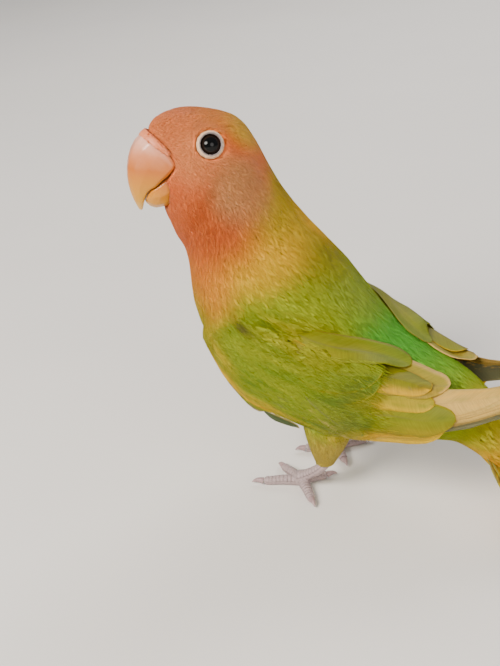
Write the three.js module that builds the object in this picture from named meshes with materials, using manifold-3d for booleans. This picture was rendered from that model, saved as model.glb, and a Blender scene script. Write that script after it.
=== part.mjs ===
// A peach-faced lovebird standing at rest, life size, with its head turned to the left.
// Millimetres. The bird faces -X, its left side is toward -Y, +Z is up and the floor is z = 0.
import * as THREE from 'three';
import { mergeVertices } from 'three/addons/utils/BufferGeometryUtils.js';
import Module from 'manifold-3d';

const wasm = await Module();
wasm.setup();

// Driving dimensions
const GAP = 0.3;
const VANE = 0.55;
const HEAD_YAW = 46;
const HEAD_PITCH = 13;
const HEAD_CENTRE = [-25.9, -1.6, 97.2];
const EYE_SIDE = 9.1;

const rad = (degrees) => (degrees * Math.PI) / 180;
const vec = (x, y, z) => new THREE.Vector3(x, y, z);

// Solids from rings of points
const indexed = (points, faces) => {
  const geometry = new THREE.BufferGeometry();
  geometry.setAttribute('position', new THREE.Float32BufferAttribute(points.flatMap((p) => p.toArray()), 3));
  geometry.setIndex(faces);
  return geometry;
};

const closedRings = (rings) => {
  const count = rings[0].length;
  const points = rings.flat();
  const faces = [];
  for (let i = 0; i + 1 < rings.length; i += 1) {
    for (let j = 0; j < count; j += 1) {
      const a = i * count + j;
      const b = i * count + ((j + 1) % count);
      faces.push(a, b, a + count, b, b + count, a + count);
    }
  }
  const cap = (ring, start, flip) => {
    const centre = points.length;
    points.push(ring.reduce((sum, p) => sum.add(p), vec(0, 0, 0)).divideScalar(count));
    for (let j = 0; j < count; j += 1) {
      const a = start + j;
      const b = start + ((j + 1) % count);
      faces.push(...(flip ? [centre, b, a] : [centre, a, b]));
    }
  };
  cap(rings[0], 0, true);
  cap(rings.at(-1), (rings.length - 1) * count, false);
  return indexed(points, faces);
};

const solid = (geometry) => {
  const bare = new THREE.BufferGeometry();
  bare.setAttribute('position', geometry.getAttribute('position').clone());
  if (geometry.index) bare.setIndex(geometry.index.clone());
  const merged = mergeVertices(bare, 1e-4);
  const vertProperties = new Float32Array(merged.getAttribute('position').array);
  let triVerts = new Uint32Array(merged.index.array);
  const made = new wasm.Manifold(new wasm.Mesh({ numProp: 3, vertProperties, triVerts }));
  if (made.volume() > 0) return made;
  triVerts = triVerts.map((_, i) => merged.index.array[i - (i % 3) + [0, 2, 1][i % 3]]);
  return new wasm.Manifold(new wasm.Mesh({ numProp: 3, vertProperties, triVerts }));
};

// A smooth curve through rows of numbers
const between = (rows, t) => {
  const last = rows.length - 1;
  const i = Math.min(Math.floor(t), last - 1);
  const s = t - i;
  const [p0, p1, p2, p3] = [rows[Math.max(i - 1, 0)], rows[i], rows[i + 1], rows[Math.min(i + 2, last)]];
  return p1.map((_, k) => {
    const a = (p2[k] - p0[k]) / 2;
    const b = (p3[k] - p1[k]) / 2;
    const s2 = s * s;
    const s3 = s2 * s;
    return (2 * s3 - 3 * s2 + 1) * p1[k] + (s3 - 2 * s2 + s) * a + (3 * s2 - 2 * s3) * p2[k] + (s3 - s2) * b;
  });
};

// A ring from its upper point, its lower point, its half width and the yaw of its side
const ringOf = ([ux, uy, uz, lx, ly, lz, half, yaw, mid], count, grow = 0) => {
  const upper = vec(ux, uy, uz);
  const lower = vec(lx, ly, lz);
  const centre = upper.clone().lerp(lower, mid);
  const side = vec(Math.sin(rad(yaw)), -Math.cos(rad(yaw)), 0);
  const rise = upper.clone().sub(centre);
  const fall = lower.clone().sub(centre);
  rise.setLength(rise.length() + grow);
  fall.setLength(fall.length() + grow);
  return Array.from({ length: count }, (_, j) => {
    const angle = (2 * Math.PI * (j + 0.5)) / count;
    const c = Math.cos(angle);
    const p = centre.clone().addScaledVector(side, Math.sin(angle) * (half + grow));
    return p.addScaledVector(c > 0 ? rise : fall, Math.abs(c));
  });
};

const ringNormal = (ring) => {
  const n = ring.length;
  const a = ring[Math.floor(n / 3)].clone().sub(ring[0]);
  const b = ring[Math.floor((2 * n) / 3)].clone().sub(ring[0]);
  return a.cross(b).normalize();
};

// The head's own frame: forward along the bill, to the left, and up
const yaw = rad(HEAD_YAW);
const pitch = rad(HEAD_PITCH);
const FORWARD = vec(-Math.cos(yaw) * Math.cos(pitch), -Math.sin(yaw) * Math.cos(pitch), Math.sin(pitch));
const LEFT = vec(Math.sin(yaw), -Math.cos(yaw), 0);
const UP = LEFT.clone().cross(FORWARD).negate();
const onHead = (f, l, u) => {
  const p = vec(...HEAD_CENTRE).addScaledVector(FORWARD, f);
  return p.addScaledVector(LEFT, l).addScaledVector(UP, u);
};

// Body: sections from the bill back to the tail base
const headSection = (f1, u1, f2, u2, half, mid = 0.5) =>
  [...onHead(f1, 0, u1).toArray(), ...onHead(f2, 0, u2).toArray(), half, HEAD_YAW, mid];
const bodySection = (x1, y1, z1, x2, y2, z2, half, turn = 0, mid = 0.5) =>
  [x1, y1, z1, x2, y2, z2, half, turn, mid];
const SECTIONS = [
  headSection(14.6, -2.5, 8.4, -15.5, 2.9),
  headSection(14.9, 1.0, 8.0, -18.8, 4.3),
  headSection(13.3, 4.2, 7.8, -21.2, 5.4),
  headSection(9.3, 6.6, 6.6, -23.0, 6.8),
  headSection(4.0, 7.7, 5.6, -24.8, 9.8),
  headSection(-2.0, 7.4, 4.6, -26.6, 11.5),
  headSection(-8.0, 6.3, 3.8, -28.2, 12.4),
  bodySection(-15.6, 6.0, 96.9, -32.0, -8.0, 69.2, 13.2, 38),
  bodySection(-9.8, 4.4, 87.8, -32.2, -6.4, 65.6, 14.2, 28),
  bodySection(-4.6, 2.4, 80.6, -32.4, -4.0, 61.6, 15.8, 16),
  bodySection(2.0, 0.6, 73.2, -32.8, -1.2, 56.0, 18.0, 6),
  bodySection(9.6, 0, 65.4, -30.8, 0, 47.6, 20.4, 0, 0.52),
  bodySection(16.8, 0, 56.6, -23.6, 0, 38.0, 21.4, 0, 0.54),
  bodySection(23.4, 0, 49.0, -11.0, 0, 29.0, 21.2, 0, 0.56),
  bodySection(31.0, 0, 44.4, 3.2, 0, 23.6, 19.2, 0, 0.55),
  bodySection(38.2, 0, 41.0, 16.6, 0, 21.0, 16.4),
  bodySection(44.6, 0, 37.8, 28.0, 0, 20.6, 13.6),
  bodySection(49.6, 0, 34.2, 36.4, 0, 20.8, 11.2),
  bodySection(52.4, 0, 31.6, 42.4, 0, 21.4, 9.0),
];
const AROUND = 24;
const HEAD_END = 8;
const NECK_END = 10.5;
const bodyLoft = (from, to, grow = 0, shift = 0) => {
  const steps = Math.max(2, Math.round((to - from) * 1.5));
  const rings = [];
  for (let i = 0; i <= steps; i += 1) {
    const row = between(SECTIONS, from + ((to - from) * i) / steps);
    rings.push(ringOf(row, AROUND, grow));
  }
  if (shift) {
    const normal = ringNormal(rings[0]);
    const ahead = rings[1][0].clone().sub(rings[0][0]);
    if (normal.dot(ahead) < 0) normal.negate();
    rings[0].forEach((p) => p.addScaledVector(normal, shift));
  }
  return solid(closedRings(rings));
};

const group = new THREE.Group();
const material = (color, roughness) => new THREE.MeshStandardMaterial({ color, roughness });
const add = (name, shape, look) => {
  const mesh = shape.getMesh();
  const geometry = new THREE.BufferGeometry();
  geometry.setAttribute('position', new THREE.Float32BufferAttribute(mesh.vertProperties, 3));
  geometry.setIndex(Array.from(mesh.triVerts));
  geometry.computeVertexNormals();
  const node = new THREE.Mesh(geometry, look);
  node.name = name;
  group.add(node);
};

const last = SECTIONS.length - 1;
const biggest = (shape) => {
  const parts = shape.decompose();
  return parts.reduce((best, p) => (p.volume() > best.volume() ? p : best));
};
const union = (shapes) => shapes.reduce((sum, s) => sum.add(s));
const cutAll = (shape, tools) => biggest(tools.reduce((left, tool) => left.subtract(tool), shape));
const ROOM = 400;
const belowFloor = solid(new THREE.BoxGeometry(ROOM, ROOM, ROOM).translate(0, 0, -ROOM / 2));

// Bill: culmen point, cutting-edge point and half width of each section, in the head's frame
const BILL_UPPER = [
  [12.4, -0.6, 7.1, -7.4, 6.0],
  [15.6, 0.2, 7.8, -9.0, 6.6],
  [17.9, -2.0, 9.2, -10.9, 6.1],
  [19.1, -5.4, 10.2, -12.0, 5.3],
  [19.4, -9.2, 11.4, -13.7, 4.3],
  [18.9, -12.8, 13.0, -14.6, 3.4],
  [17.8, -16.0, 13.9, -16.5, 2.7],
  [16.3, -18.8, 14.1, -18.5, 1.8],
  [14.9, -20.8, 14.2, -20.4, 0.6],
];
const BILL_LOWER = [
  [3.6, -8.0, 3.8, -17.4, 4.4],
  [8.6, -7.6, 8.0, -19.0, 4.7],
  [10.8, -9.6, 10.8, -19.8, 4.5],
  [12.6, -12.2, 13.0, -19.0, 3.7],
  [13.5, -15.2, 14.2, -17.4, 2.6],
];
const headLoft = (rows, steps, count, mid, grow = 0) => {
  const rings = [];
  for (let i = 0; i <= steps; i += 1) {
    const [f1, u1, f2, u2, half] = between(rows, ((rows.length - 1) * i) / steps);
    rings.push(ringOf(headSection(f1, u1, f2, u2, half, mid), count, grow));
  }
  return solid(closedRings(rings));
};

// A tube of given radii along a smooth path, its section kept square to the path
const tube = (stations, steps, count, grow = 0, twist = 0) => {
  const rings = [];
  let across = null;
  for (let i = 0; i <= steps; i += 1) {
    const t = ((stations.length - 1) * i) / steps;
    const [x, y, z, r] = between(stations, t);
    const ahead = vec(...between(stations, Math.min(t + 0.01, stations.length - 1)));
    const along = ahead.sub(vec(...between(stations, Math.max(t - 0.01, 0)))).normalize();
    if (!across) across = vec(along.y, -along.x, 0.001).cross(along).normalize();
    across.addScaledVector(along, -across.dot(along)).normalize();
    const other = along.clone().cross(across);
    rings.push(Array.from({ length: count }, (_, j) => {
      const angle = (2 * Math.PI * j) / count + twist;
      const p = vec(x, y, z).addScaledVector(across, Math.cos(angle) * (r + grow));
      return p.addScaledVector(other, Math.sin(angle) * (r + grow));
    }));
  }
  return solid(closedRings(rings));
};

// Cere: a fleshy saddle over the root of the bill, with a nostril each side
const CERE = [
  [9.8, 6.2, -3.9, 0.5],
  [11.4, 5.8, -2.6, 0.85],
  [13.5, 4.6, -1.3, 1.05],
  [15.3, 2.4, -0.2, 1.15],
  [16.2, 0, 0.1, 1.2],
  [15.3, -2.4, -0.2, 1.15],
  [13.5, -4.6, -1.3, 1.05],
  [11.4, -5.8, -2.6, 0.85],
  [9.8, -6.2, -3.9, 0.5],
].map(([f, l, u, r]) => [...onHead(f, l, u).toArray(), r]);
const nostril = (side) => tube([
  [...onHead(16.6, side * 3.0, 2.4).toArray(), 0.5],
  [...onHead(15.0, side * 2.7, 0.3).toArray(), 0.45],
], 2, 8);

const bill = headLoft(BILL_UPPER, 12, 14, 0.84);
const billRoom = headLoft(BILL_UPPER, 12, 14, 0.84, GAP);
const jaw = headLoft(BILL_LOWER, 6, 12, 0.45);
const jawRoom = headLoft(BILL_LOWER, 6, 12, 0.45, GAP);
const cere = tube(CERE, 12, 8);
const cereRoom = tube(CERE, 12, 8, GAP);

// Eyes: a ball in a socket with a bare ring of lids round it
const EYE_RADIUS = 3.2;
const EYE_DEPTH = 1.87;
const EYE_TURN = [0.1, 0.92, 0.37];
const RING_PROFILE = [
  [2.64, 0.35], [2.72, 0.85], [3.1, 0.98], [3.5, 0.62], [3.65, 0], [3.65, -0.8], [3.4, -0.8], [3.16, -0.35],
];
const onEye = (geometry, side) => {
  const [f, l, u] = EYE_TURN;
  const axis = vec(0, 0, 0).addScaledVector(FORWARD, f).addScaledVector(LEFT, side * l).addScaledVector(UP, u);
  axis.normalize();
  const turn = new THREE.Quaternion().setFromUnitVectors(vec(0, 1, 0), axis);
  const place = onHead(0.2, side * EYE_SIDE, 0.1);
  return geometry.applyQuaternion(turn).translate(place.x, place.y, place.z);
};
const ball = (side, grow = 0) =>
  solid(onEye(new THREE.SphereGeometry(EYE_RADIUS + grow, 12, 8).translate(0, -EYE_DEPTH, 0), side));
const lidRing = (side) => {
  const profile = [...RING_PROFILE, RING_PROFILE[0]].map(([r, h]) => new THREE.Vector2(r, h));
  return solid(onEye(new THREE.LatheGeometry(profile.reverse(), 14), side));
};
const lidRoom = (side) =>
  solid(onEye(new THREE.CylinderGeometry(3.98, 3.98, 3.2, 14).translate(0, 0.5, 0), side));

const flesh = material('#d9743c', 0.8);
const horn = material('#d9a36a', 0.35);
const grey = material('#8d7f80', 0.6);
add('head', cutAll(bodyLoft(0, HEAD_END), [
  billRoom, jawRoom, cereRoom, ball(1, GAP), ball(-1, GAP), lidRoom(1), lidRoom(-1),
]), flesh);
add('neck', bodyLoft(HEAD_END, NECK_END, 0, GAP), material('#d9a23c', 0.8));
const torso = bodyLoft(NECK_END, last, 0, GAP);
const bodyRoom = bodyLoft(0, HEAD_END, GAP).add(bodyLoft(HEAD_END, last, GAP));
add('torso', torso, material('#9aa82c', 0.8));
add('bill_upper', bill, horn);
add('bill_lower', cutAll(jaw, [billRoom]), horn);
add('cere', cutAll(cere, [billRoom, nostril(1), nostril(-1)]), material('#d9b3a6', 0.6));
for (const [side, word] of [[1, 'left'], [-1, 'right']]) {
  add(`eye_${word}`, ball(side), material('#0c0908', 0.08));
  add(`eye_ring_${word}`, lidRing(side), material('#e8dfd2', 0.6));
}

// Legs: side is 1 for the left, toward -Y
const FOOT = { left: [-0.4, -9.6], right: [0.6, 10.2] };
const TOE_Z = 1.1;
const TOES = [
  [5.2, 5.4, 7.2, 3.2],
  [-9.3, 5.0, 8.8, 3.0],
  [-10.6, -4.4, 10.6, 3.4],
  [6.2, -6.4, 9.4, 3.3],
];
const thighStations = (word) => {
  const [x, y] = FOOT[word];
  const out = Math.sign(y);
  return [
    [x + 10.4, y - out * 0.6, 27.0, 8.0],
    [x + 10.2, y + out * 0.4, 22.0, 7.2],
    [x + 9.6, y + out * 1.0, 16.6, 5.4],
    [x + 9.0, y + out * 1.2, 12.4, 3.6],
    [x + 8.8, y + out * 1.2, 9.6, 2.4],
  ];
};
const shankStations = (word, top = 0) => {
  const [x, y] = FOOT[word];
  const out = Math.sign(y);
  return [
    [x + 9.2 + 0.4 * top, y + out * 1.2, 11.5 + top, 1.4],
    [x + 8.2, y + out * 1.2, 8.9, 1.5],
    [x + 5.6, y + out * 0.9, 6.4, 1.45],
    [x + 2.2, y + out * 0.3, 3.8, 1.6],
    [x - 0.6, y, 2.1, 2.0],
    [x - 1.8, y, 1.9, 1.5],
  ];
};
for (const [side, word] of [[1, 'left'], [-1, 'right']]) {
  const [fx, fy] = FOOT[word];
  const shankRoom = tube(shankStations(word, GAP), 6, 10, GAP);
  const thigh = cutAll(tube(thighStations(word), 6, 13), [bodyRoom, shankRoom]);
  add(`thigh_${word}`, thigh, material('#b0a83a', 0.8));
  const toes = TOES.map(([dx, dy, length, nail], k) => {
    const ahead = vec(dx, side * dy, 0).normalize();
    const stations = [0, 0.25, 0.5, 0.75, 1].map((s) => {
      const p = vec(fx, fy, 0).addScaledVector(ahead, s * length);
      const rise = 0.9 * Math.sin(Math.PI * Math.min(1, s * 1.1)) ** 2;
      return [p.x, p.y, TOE_Z + 0.35 * rise, 1.55 - 0.4 * s];
    });
    const tip = vec(fx, fy, 0).addScaledVector(ahead, length + GAP);
    const claw = [0, 0.35, 0.7, 1].map((s) => {
      const p = tip.clone().addScaledVector(ahead, s * nail);
      return [p.x, p.y, TOE_Z + 0.55 * Math.sin(Math.PI * s * 0.8) - 0.75 * s * s, 0.9 * (1 - s) ** 0.7 + 0.12];
    });
    add(`claw_${word}_${k + 1}`, tube(claw, 4, 8).subtract(belowFloor), material('#8a6f74', 0.4));
    return tube(stations, 5, 8);
  });
  const shank = tube(shankStations(word), 6, 10);
  add(`foot_${word}`, biggest(union([shank, ...toes]).subtract(belowFloor)), grey);
}

// A vane between two like grids: place(s, w) gives a point and the way out of its upper face
const vaneSolid = (place, shape, thick) => {
  const points = [];
  const under = [];
  const across = [-1, 0, 1];
  shape.forEach(([s, half]) => across.forEach((w) => {
    const { point, out } = place(s, w * half);
    points.push(point.clone().addScaledVector(out, w === 0 ? thick * 0.2 : 0));
    under.push(point.clone().addScaledVector(out, -thick));
  }));
  const n = points.length;
  const wide = across.length;
  const faces = [];
  for (let i = 0; i + 1 < shape.length; i += 1) {
    for (let j = 0; j + 1 < wide; j += 1) {
      const a = i * wide + j;
      const corners = [a, a + 1, a + wide, a + wide + 1];
      const pair = j === 0 ? [[0, 1, 3], [0, 3, 2]] : [[0, 1, 2], [1, 3, 2]];
      pair.forEach((t) => {
        const [p, q, r] = t.map((k) => corners[k]);
        faces.push(p, q, r, n + p, n + r, n + q);
      });
    }
  }
  const rim = [];
  for (let j = 0; j + 1 < wide; j += 1) rim.push([j + 1, j]);
  for (let i = 0; i + 1 < shape.length; i += 1) rim.push([i * wide, (i + 1) * wide]);
  for (let j = 0; j + 1 < wide; j += 1) rim.push([n - wide + j, n - wide + j + 1]);
  for (let i = shape.length - 1; i > 0; i -= 1) rim.push([(i + 1) * wide - 1, i * wide - 1]);
  rim.forEach(([p, q]) => faces.push(p, q, n + q, p, n + q, n + p));
  return solid(indexed([...points, ...under], faces));
};

// The folded wing lies on a curved sheet over the flank: at each x, its lower and upper edge and its bulge
const WING = [
  [-26, -17.0, 43.0, -17.2, 46.0, 0.2],
  [-20, -18.8, 40.0, -19.2, 48.8, 0.6],
  [-14, -20.4, 35.6, -20.6, 53.4, 1.2],
  [-8, -20.2, 31.2, -20.8, 56.8, 2.2],
  [0, -19.0, 28.2, -19.6, 58.6, 3.6],
  [8, -18.2, 26.2, -17.0, 56.8, 4.9],
  [16, -17.8, 25.0, -13.4, 52.6, 5.3],
  [24, -17.4, 26.4, -11.0, 47.6, 4.5],
  [32, -16.8, 28.2, -9.8, 43.6, 3.2],
  [40, -16.2, 29.6, -9.4, 41.0, 2.0],
  [46, -15.8, 31.8, -9.4, 40.4, 1.3],
  [52, -15.4, 34.4, -9.2, 41.2, 1.0],
  [60, -13.6, 38.2, -8.0, 43.6, 0.7],
  [70, -10.0, 40.2, -5.0, 44.4, 0.5],
  [84, -4.2, 40.6, 0, 44.0, 0.3],
  [92, -1.0, 40.0, 3.0, 43.0, 0.3],
];
const DROOP = { left: 0, right: 0.075 };
const wingSheet = (droop) => (x, m, h) => {
  let i = 0;
  while (i + 2 < WING.length && WING[i + 1][0] < x) i += 1;
  const t = i + (x - WING[i][0]) / (WING[i + 1][0] - WING[i][0]);
  const [, y1, z1, y2, z2, bulge] = between(WING, t);
  const span = Math.hypot(y2 - y1, z2 - z1);
  const v = m / span;
  const up = [(y2 - y1) / span, (z2 - z1) / span];
  const out = [-up[1], up[0]];
  const sag = bulge * 4 * v * (1 - v);
  const slope = (bulge * 4 * (1 - 2 * v)) / span;
  const size = Math.hypot(1, slope);
  const normal = [(out[0] - slope * up[0]) / size, (out[1] - slope * up[1]) / size];
  const y = y1 + up[0] * m + out[0] * sag + normal[0] * h;
  const z = z1 + up[1] * m + out[1] * sag + normal[1] * h - droop * Math.max(0, x - 22);
  return { point: vec(x, y, z), out: vec(0, normal[0], normal[1]) };
};

// Outlines of vanes: place along the feather and half width as shares of the whole
const LONG = [[0, 0.45], [0.35, 0.92], [0.72, 1], [0.93, 0.62], [1, 0.16]];
const ROUND = [[0, 0.6], [0.4, 0.95], [0.75, 1], [0.93, 0.66], [1, 0.2]];
const mix = (a, b, t) => a + (b - a) * t;
const ease = (a, b, x) => {
  const t = Math.min(1, Math.max(0, (x - a) / (b - a)));
  return t * t * (3 - 2 * t);
};

// One tier of a wing, from its lowest feather to its highest. Each end gives root x, root m,
// tip x, tip m, half width, root lift and tip lift
const tier = (sheet, count, low, high, { outline, tilt, bow = 0, lift = () => 0 }) =>
  Array.from({ length: count }, (_, i) => {
    const t = count > 1 ? i / (count - 1) : 0;
    const [x0, m0, x1, m1, half, h0, h1] = low.map((a, k) => mix(a, high[k], t));
    const length = Math.hypot(x1 - x0, m1 - m0);
    const place = (s, w) => {
      const x = mix(x0, x1, s);
      const m = mix(m0, m1, s) + bow * 4 * s * (1 - s);
      const dx = (-w * (m1 - m0)) / length;
      const dm = (w * (x1 - x0)) / length;
      return sheet(x + dx, m + dm, mix(h0, h1, s) - tilt * w + lift(i, x));
    };
    return vaneSolid(place, outline.map(([s, share]) => [s, share * half]), VANE);
  });

// The pointed feather along the leading edge
const ALULA = [-16, 2.4, 5.6, -2.4, 1.9, -0.3, 2.2];

// The arm and its small feathers: a pad that carries the roots of every vane
const PAD = [
  [0, 0.16, 0.1], [0.08, 0.44, 0.8], [0.2, 0.74, 1.5], [0.42, 0.98, 1.9], [0.72, 0.98, 1.8], [1, 0.84, 1.3],
];
const wingPad = (sheet) => {
  const shares = [-1, -0.6, -0.2, 0.2, 0.6, 1];
  const rings = PAD.map(([s, half, lift]) => {
    const row = shares.map((w) => [
      mix(-22.5, 15, s), mix(6.5, 15, Math.sqrt(s)) + w * half * mix(13.5, 13, s), lift - 1.3 * w * w,
    ]);
    const upper = row.map(([x, m, h]) => sheet(x, m, h).point);
    return [...upper, ...row.map(([x, m]) => sheet(x, m, -2.8).point).reverse()];
  });
  return solid(closedRings(rings));
};
const wingShape = (droop) => {
  const sheet = wingSheet(droop);
  return union([
    wingPad(sheet),
    ...tier(sheet, 5, [-10, 4.5, 84.5, 2.2, 3.6, -0.4, 0.5], [4, 11, 62, 5.0, 3.6, 0.2, 0.9],
      { outline: LONG, tilt: 0.1, lift: (i, x) => 0.85 * i * ease(38, 54, x) }),
    ...tier(sheet, 5, [-8, 7, 50.5, 2.0, 5.0, 0.2, 2.0], [9, 19, 47.0, 7.4, 4.4, 0.4, 2.7],
      { outline: LONG, tilt: 0.2, bow: -1.2 }),
    ...tier(sheet, 3, [8, 20, 45.2, 8.8, 4.0, 0.8, 3.3], [12, 22.5, 37.4, 11.8, 4.2, 1.0, 3.6],
      { outline: ROUND, tilt: 0.22, bow: 1.0 }),
    ...tier(sheet, 5, [-6, 4, 25.0, 2.6, 4.8, 0.2, 2.8], [8, 22.5, 32.6, 15.6, 4.4, 0.9, 3.2],
      { outline: ROUND, tilt: 0.17 }),
    ...tier(sheet, 5, [-8, 4, 13.0, 3.0, 4.8, 0.5, 3.0], [4, 24, 22.6, 20.8, 4.2, 0.9, 3.0],
      { outline: ROUND, tilt: 0.15 }),
    ...tier(sheet, 1, ALULA, ALULA, { outline: LONG, tilt: 0.05, bow: -1.3 }),
  ]);
};

// Tail: twelve feathers fanned from a soft root, with coverts above and below
const TAIL_ROOT = [45.2, 0, 27.8];
const TAIL_SLOPE = 36.5;
const onTail = (r, across, h) => {
  const c = Math.cos(rad(TAIL_SLOPE));
  const s = Math.sin(rad(TAIL_SLOPE));
  const [x, y, z] = TAIL_ROOT;
  return { point: vec(x + r * c + h * s, y + across, z - r * s + h * c), out: vec(s, 0, c) };
};
const TAIL_SECTIONS = [
  bodySection(52.6, 0, 31.2, 42.8, 0, 21.2, 8.7),
  bodySection(55.4, 0, 28.0, 47.4, 0, 19.8, 8.6),
  bodySection(58.6, 0, 23.8, 52.6, 0, 17.2, 8.2),
  bodySection(62.2, 0, 18.8, 59.0, 0, 14.6, 7.2),
  bodySection(66.4, 0, 14.0, 65.2, 0, 12.2, 5.4),
];
const tailCore = () => {
  const rings = [];
  for (let i = 0; i <= 5; i += 1) rings.push(ringOf(between(TAIL_SECTIONS, (4 * i) / 5), 14));
  return solid(closedRings(rings));
};
const rectrix = (side, k) => {
  const angle = rad(side * (1.8 + 4.0 * k));
  const reach = 46.4 - 0.28 * k * k;
  const half = 4.3 - 0.1 * k;
  const outline = LONG.map(([s, share]) => [s, share * half]);
  return vaneSolid((s, w) => {
    const r = mix(4, reach, s);
    const across = Math.sin(angle) * r + Math.cos(angle) * w + side * 0.4;
    const along = Math.cos(angle) * r - Math.sin(angle) * w;
    const h = -0.6 - 0.62 * k * ease(6, 26, r) + 0.16 * side * w + (side > 0 && k === 0 ? 0.75 : 0);
    return onTail(along, across, h);
  }, outline, VANE);
};
const tailCovert = (side, k, above) => {
  const angle = rad(side * 7.5 * k);
  const reach = above ? 30 - 1.6 * k : 26 - 1.2 * k;
  return vaneSolid((s, w) => {
    const r = mix(6, reach, s);
    const across = Math.sin(angle) * r + Math.cos(angle) * w * (above ? 1 : -1);
    const h = above ? mix(4.4, 1.2, s) - 0.7 * k + 0.1 * side * w : mix(-4.8, -3.0, s) + 0.2 * k;
    return onTail(Math.cos(angle) * r, across, h);
  }, ROUND.map(([s, share]) => [s, share * 3.8]), VANE);
};
const tail = () => {
  const vanes = [tailCore()];
  for (let k = 0; k < 6; k += 1) vanes.push(rectrix(1, k), rectrix(-1, k));
  for (const k of [2, 1]) vanes.push(tailCovert(1, k, true), tailCovert(-1, k, true));
  vanes.push(tailCovert(1, 0, true), tailCovert(1, 1, false), tailCovert(-1, 1, false));
  return vanes;
};

const thighRooms = union(['left', 'right'].map((word) => tube(thighStations(word), 6, 13, GAP)));
const tailShape = cutAll(union(tail()), [bodyRoom, belowFloor]);
add('tail', tailShape, material('#a9983a', 0.75));
const steps = [[0, 0, GAP], [0, 0, -GAP], [0, GAP, 0], [0, -GAP, 0]];
const tailRoom = union(steps.map((step) => tailShape.translate(step)));
const wingRoom = [bodyRoom, thighRooms, tailRoom];
add('wing_left', cutAll(wingShape(DROOP.left), wingRoom), material('#9aa832', 0.75));
add('wing_right', cutAll(wingShape(DROOP.right).mirror([0, 1, 0]), wingRoom), material('#9aa832', 0.75));

// The origin is the middle of the part's footprint, on the floor
const room = new THREE.Box3().setFromObject(group);
const middle = room.getCenter(new THREE.Vector3());
group.children.forEach((node) => node.geometry.translate(-middle.x, -middle.y, -room.min.z));

export default group;
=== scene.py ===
import math

import bmesh
import bpy
import numpy as np
from mathutils import Matrix, Vector, noise
from mathutils.bvhtree import BVHTree


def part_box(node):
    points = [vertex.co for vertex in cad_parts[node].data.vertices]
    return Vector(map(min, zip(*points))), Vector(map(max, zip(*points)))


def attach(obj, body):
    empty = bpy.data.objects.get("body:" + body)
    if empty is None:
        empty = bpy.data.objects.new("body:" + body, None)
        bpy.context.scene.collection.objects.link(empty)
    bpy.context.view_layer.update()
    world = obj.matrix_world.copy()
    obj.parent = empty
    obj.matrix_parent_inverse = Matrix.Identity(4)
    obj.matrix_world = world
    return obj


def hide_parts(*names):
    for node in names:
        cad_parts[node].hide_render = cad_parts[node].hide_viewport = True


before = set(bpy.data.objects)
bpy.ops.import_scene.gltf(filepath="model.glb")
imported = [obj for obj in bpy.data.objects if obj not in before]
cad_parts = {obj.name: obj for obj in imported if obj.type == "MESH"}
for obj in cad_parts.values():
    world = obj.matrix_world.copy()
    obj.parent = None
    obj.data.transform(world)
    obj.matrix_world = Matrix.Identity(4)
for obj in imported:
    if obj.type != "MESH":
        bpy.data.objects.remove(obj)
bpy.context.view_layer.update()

# Studio: the bird stands on a plain pale floor under soft light, seen from its left front and a
# little above, close enough that the tail and the long wing feathers run out of the picture.
FLOOR_SIZE = 3.0
FOCAL_LENGTH = 1100 / 666
CAMERA_PLACE = Matrix((
    (0.85903, -0.14978, 0.48952, 0.111530),
    (0.50323, 0.42257, -0.75379, -0.233663),
    (-0.09395, 0.89387, 0.43837, 0.176051),
    (0, 0, 0, 1),
))
WARM = (1.0, 0.94, 0.86)
SKY = (0.95, 0.96, 1.0, 1)

bpy.ops.object.select_all(action="DESELECT")
bpy.ops.mesh.primitive_grid_add(x_subdivisions=24, y_subdivisions=24, size=FLOOR_SIZE)
studio_floor = bpy.context.object
studio_floor.name = "studio_floor"

camera_data = bpy.data.cameras.new("camera")
camera_data.lens = FOCAL_LENGTH * camera_data.sensor_width
camera_data.clip_start = 0.01
camera = bpy.data.objects.new("camera", camera_data)
bpy.context.collection.objects.link(camera)
camera.matrix_world = CAMERA_PLACE
bpy.context.scene.camera = camera


def softbox(name, place, aim, size, power, colour):
    """A round studio light at a place in metres, turned to face its aim."""
    light = bpy.data.lights.new(name, "AREA")
    light.shape = "DISK"
    light.size = size
    light.energy = power
    light.color = colour
    lamp = bpy.data.objects.new(name, light)
    lamp.location = place
    lamp.rotation_euler = (Vector(aim) - Vector(place)).to_track_quat("-Z", "Y").to_euler()
    bpy.context.collection.objects.link(lamp)


softbox("key", (-0.2, -0.75, 0.7), (0, 0, 0.05), 0.5, 18.5, WARM)
softbox("fill", (0.9, -0.5, 0.45), (0, 0, 0.04), 0.8, 6, (1.0, 0.96, 0.91))
softbox("rim", (-0.1, 0.8, 0.7), (0, 0, 0.06), 0.6, 6, (1.0, 0.98, 0.96))
world = bpy.data.worlds.new("studio")
bpy.context.scene.world = world
world.use_nodes = True
backdrop = world.node_tree.nodes["Background"]
backdrop.inputs["Color"].default_value = SKY
backdrop.inputs["Strength"].default_value = 0.42


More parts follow.
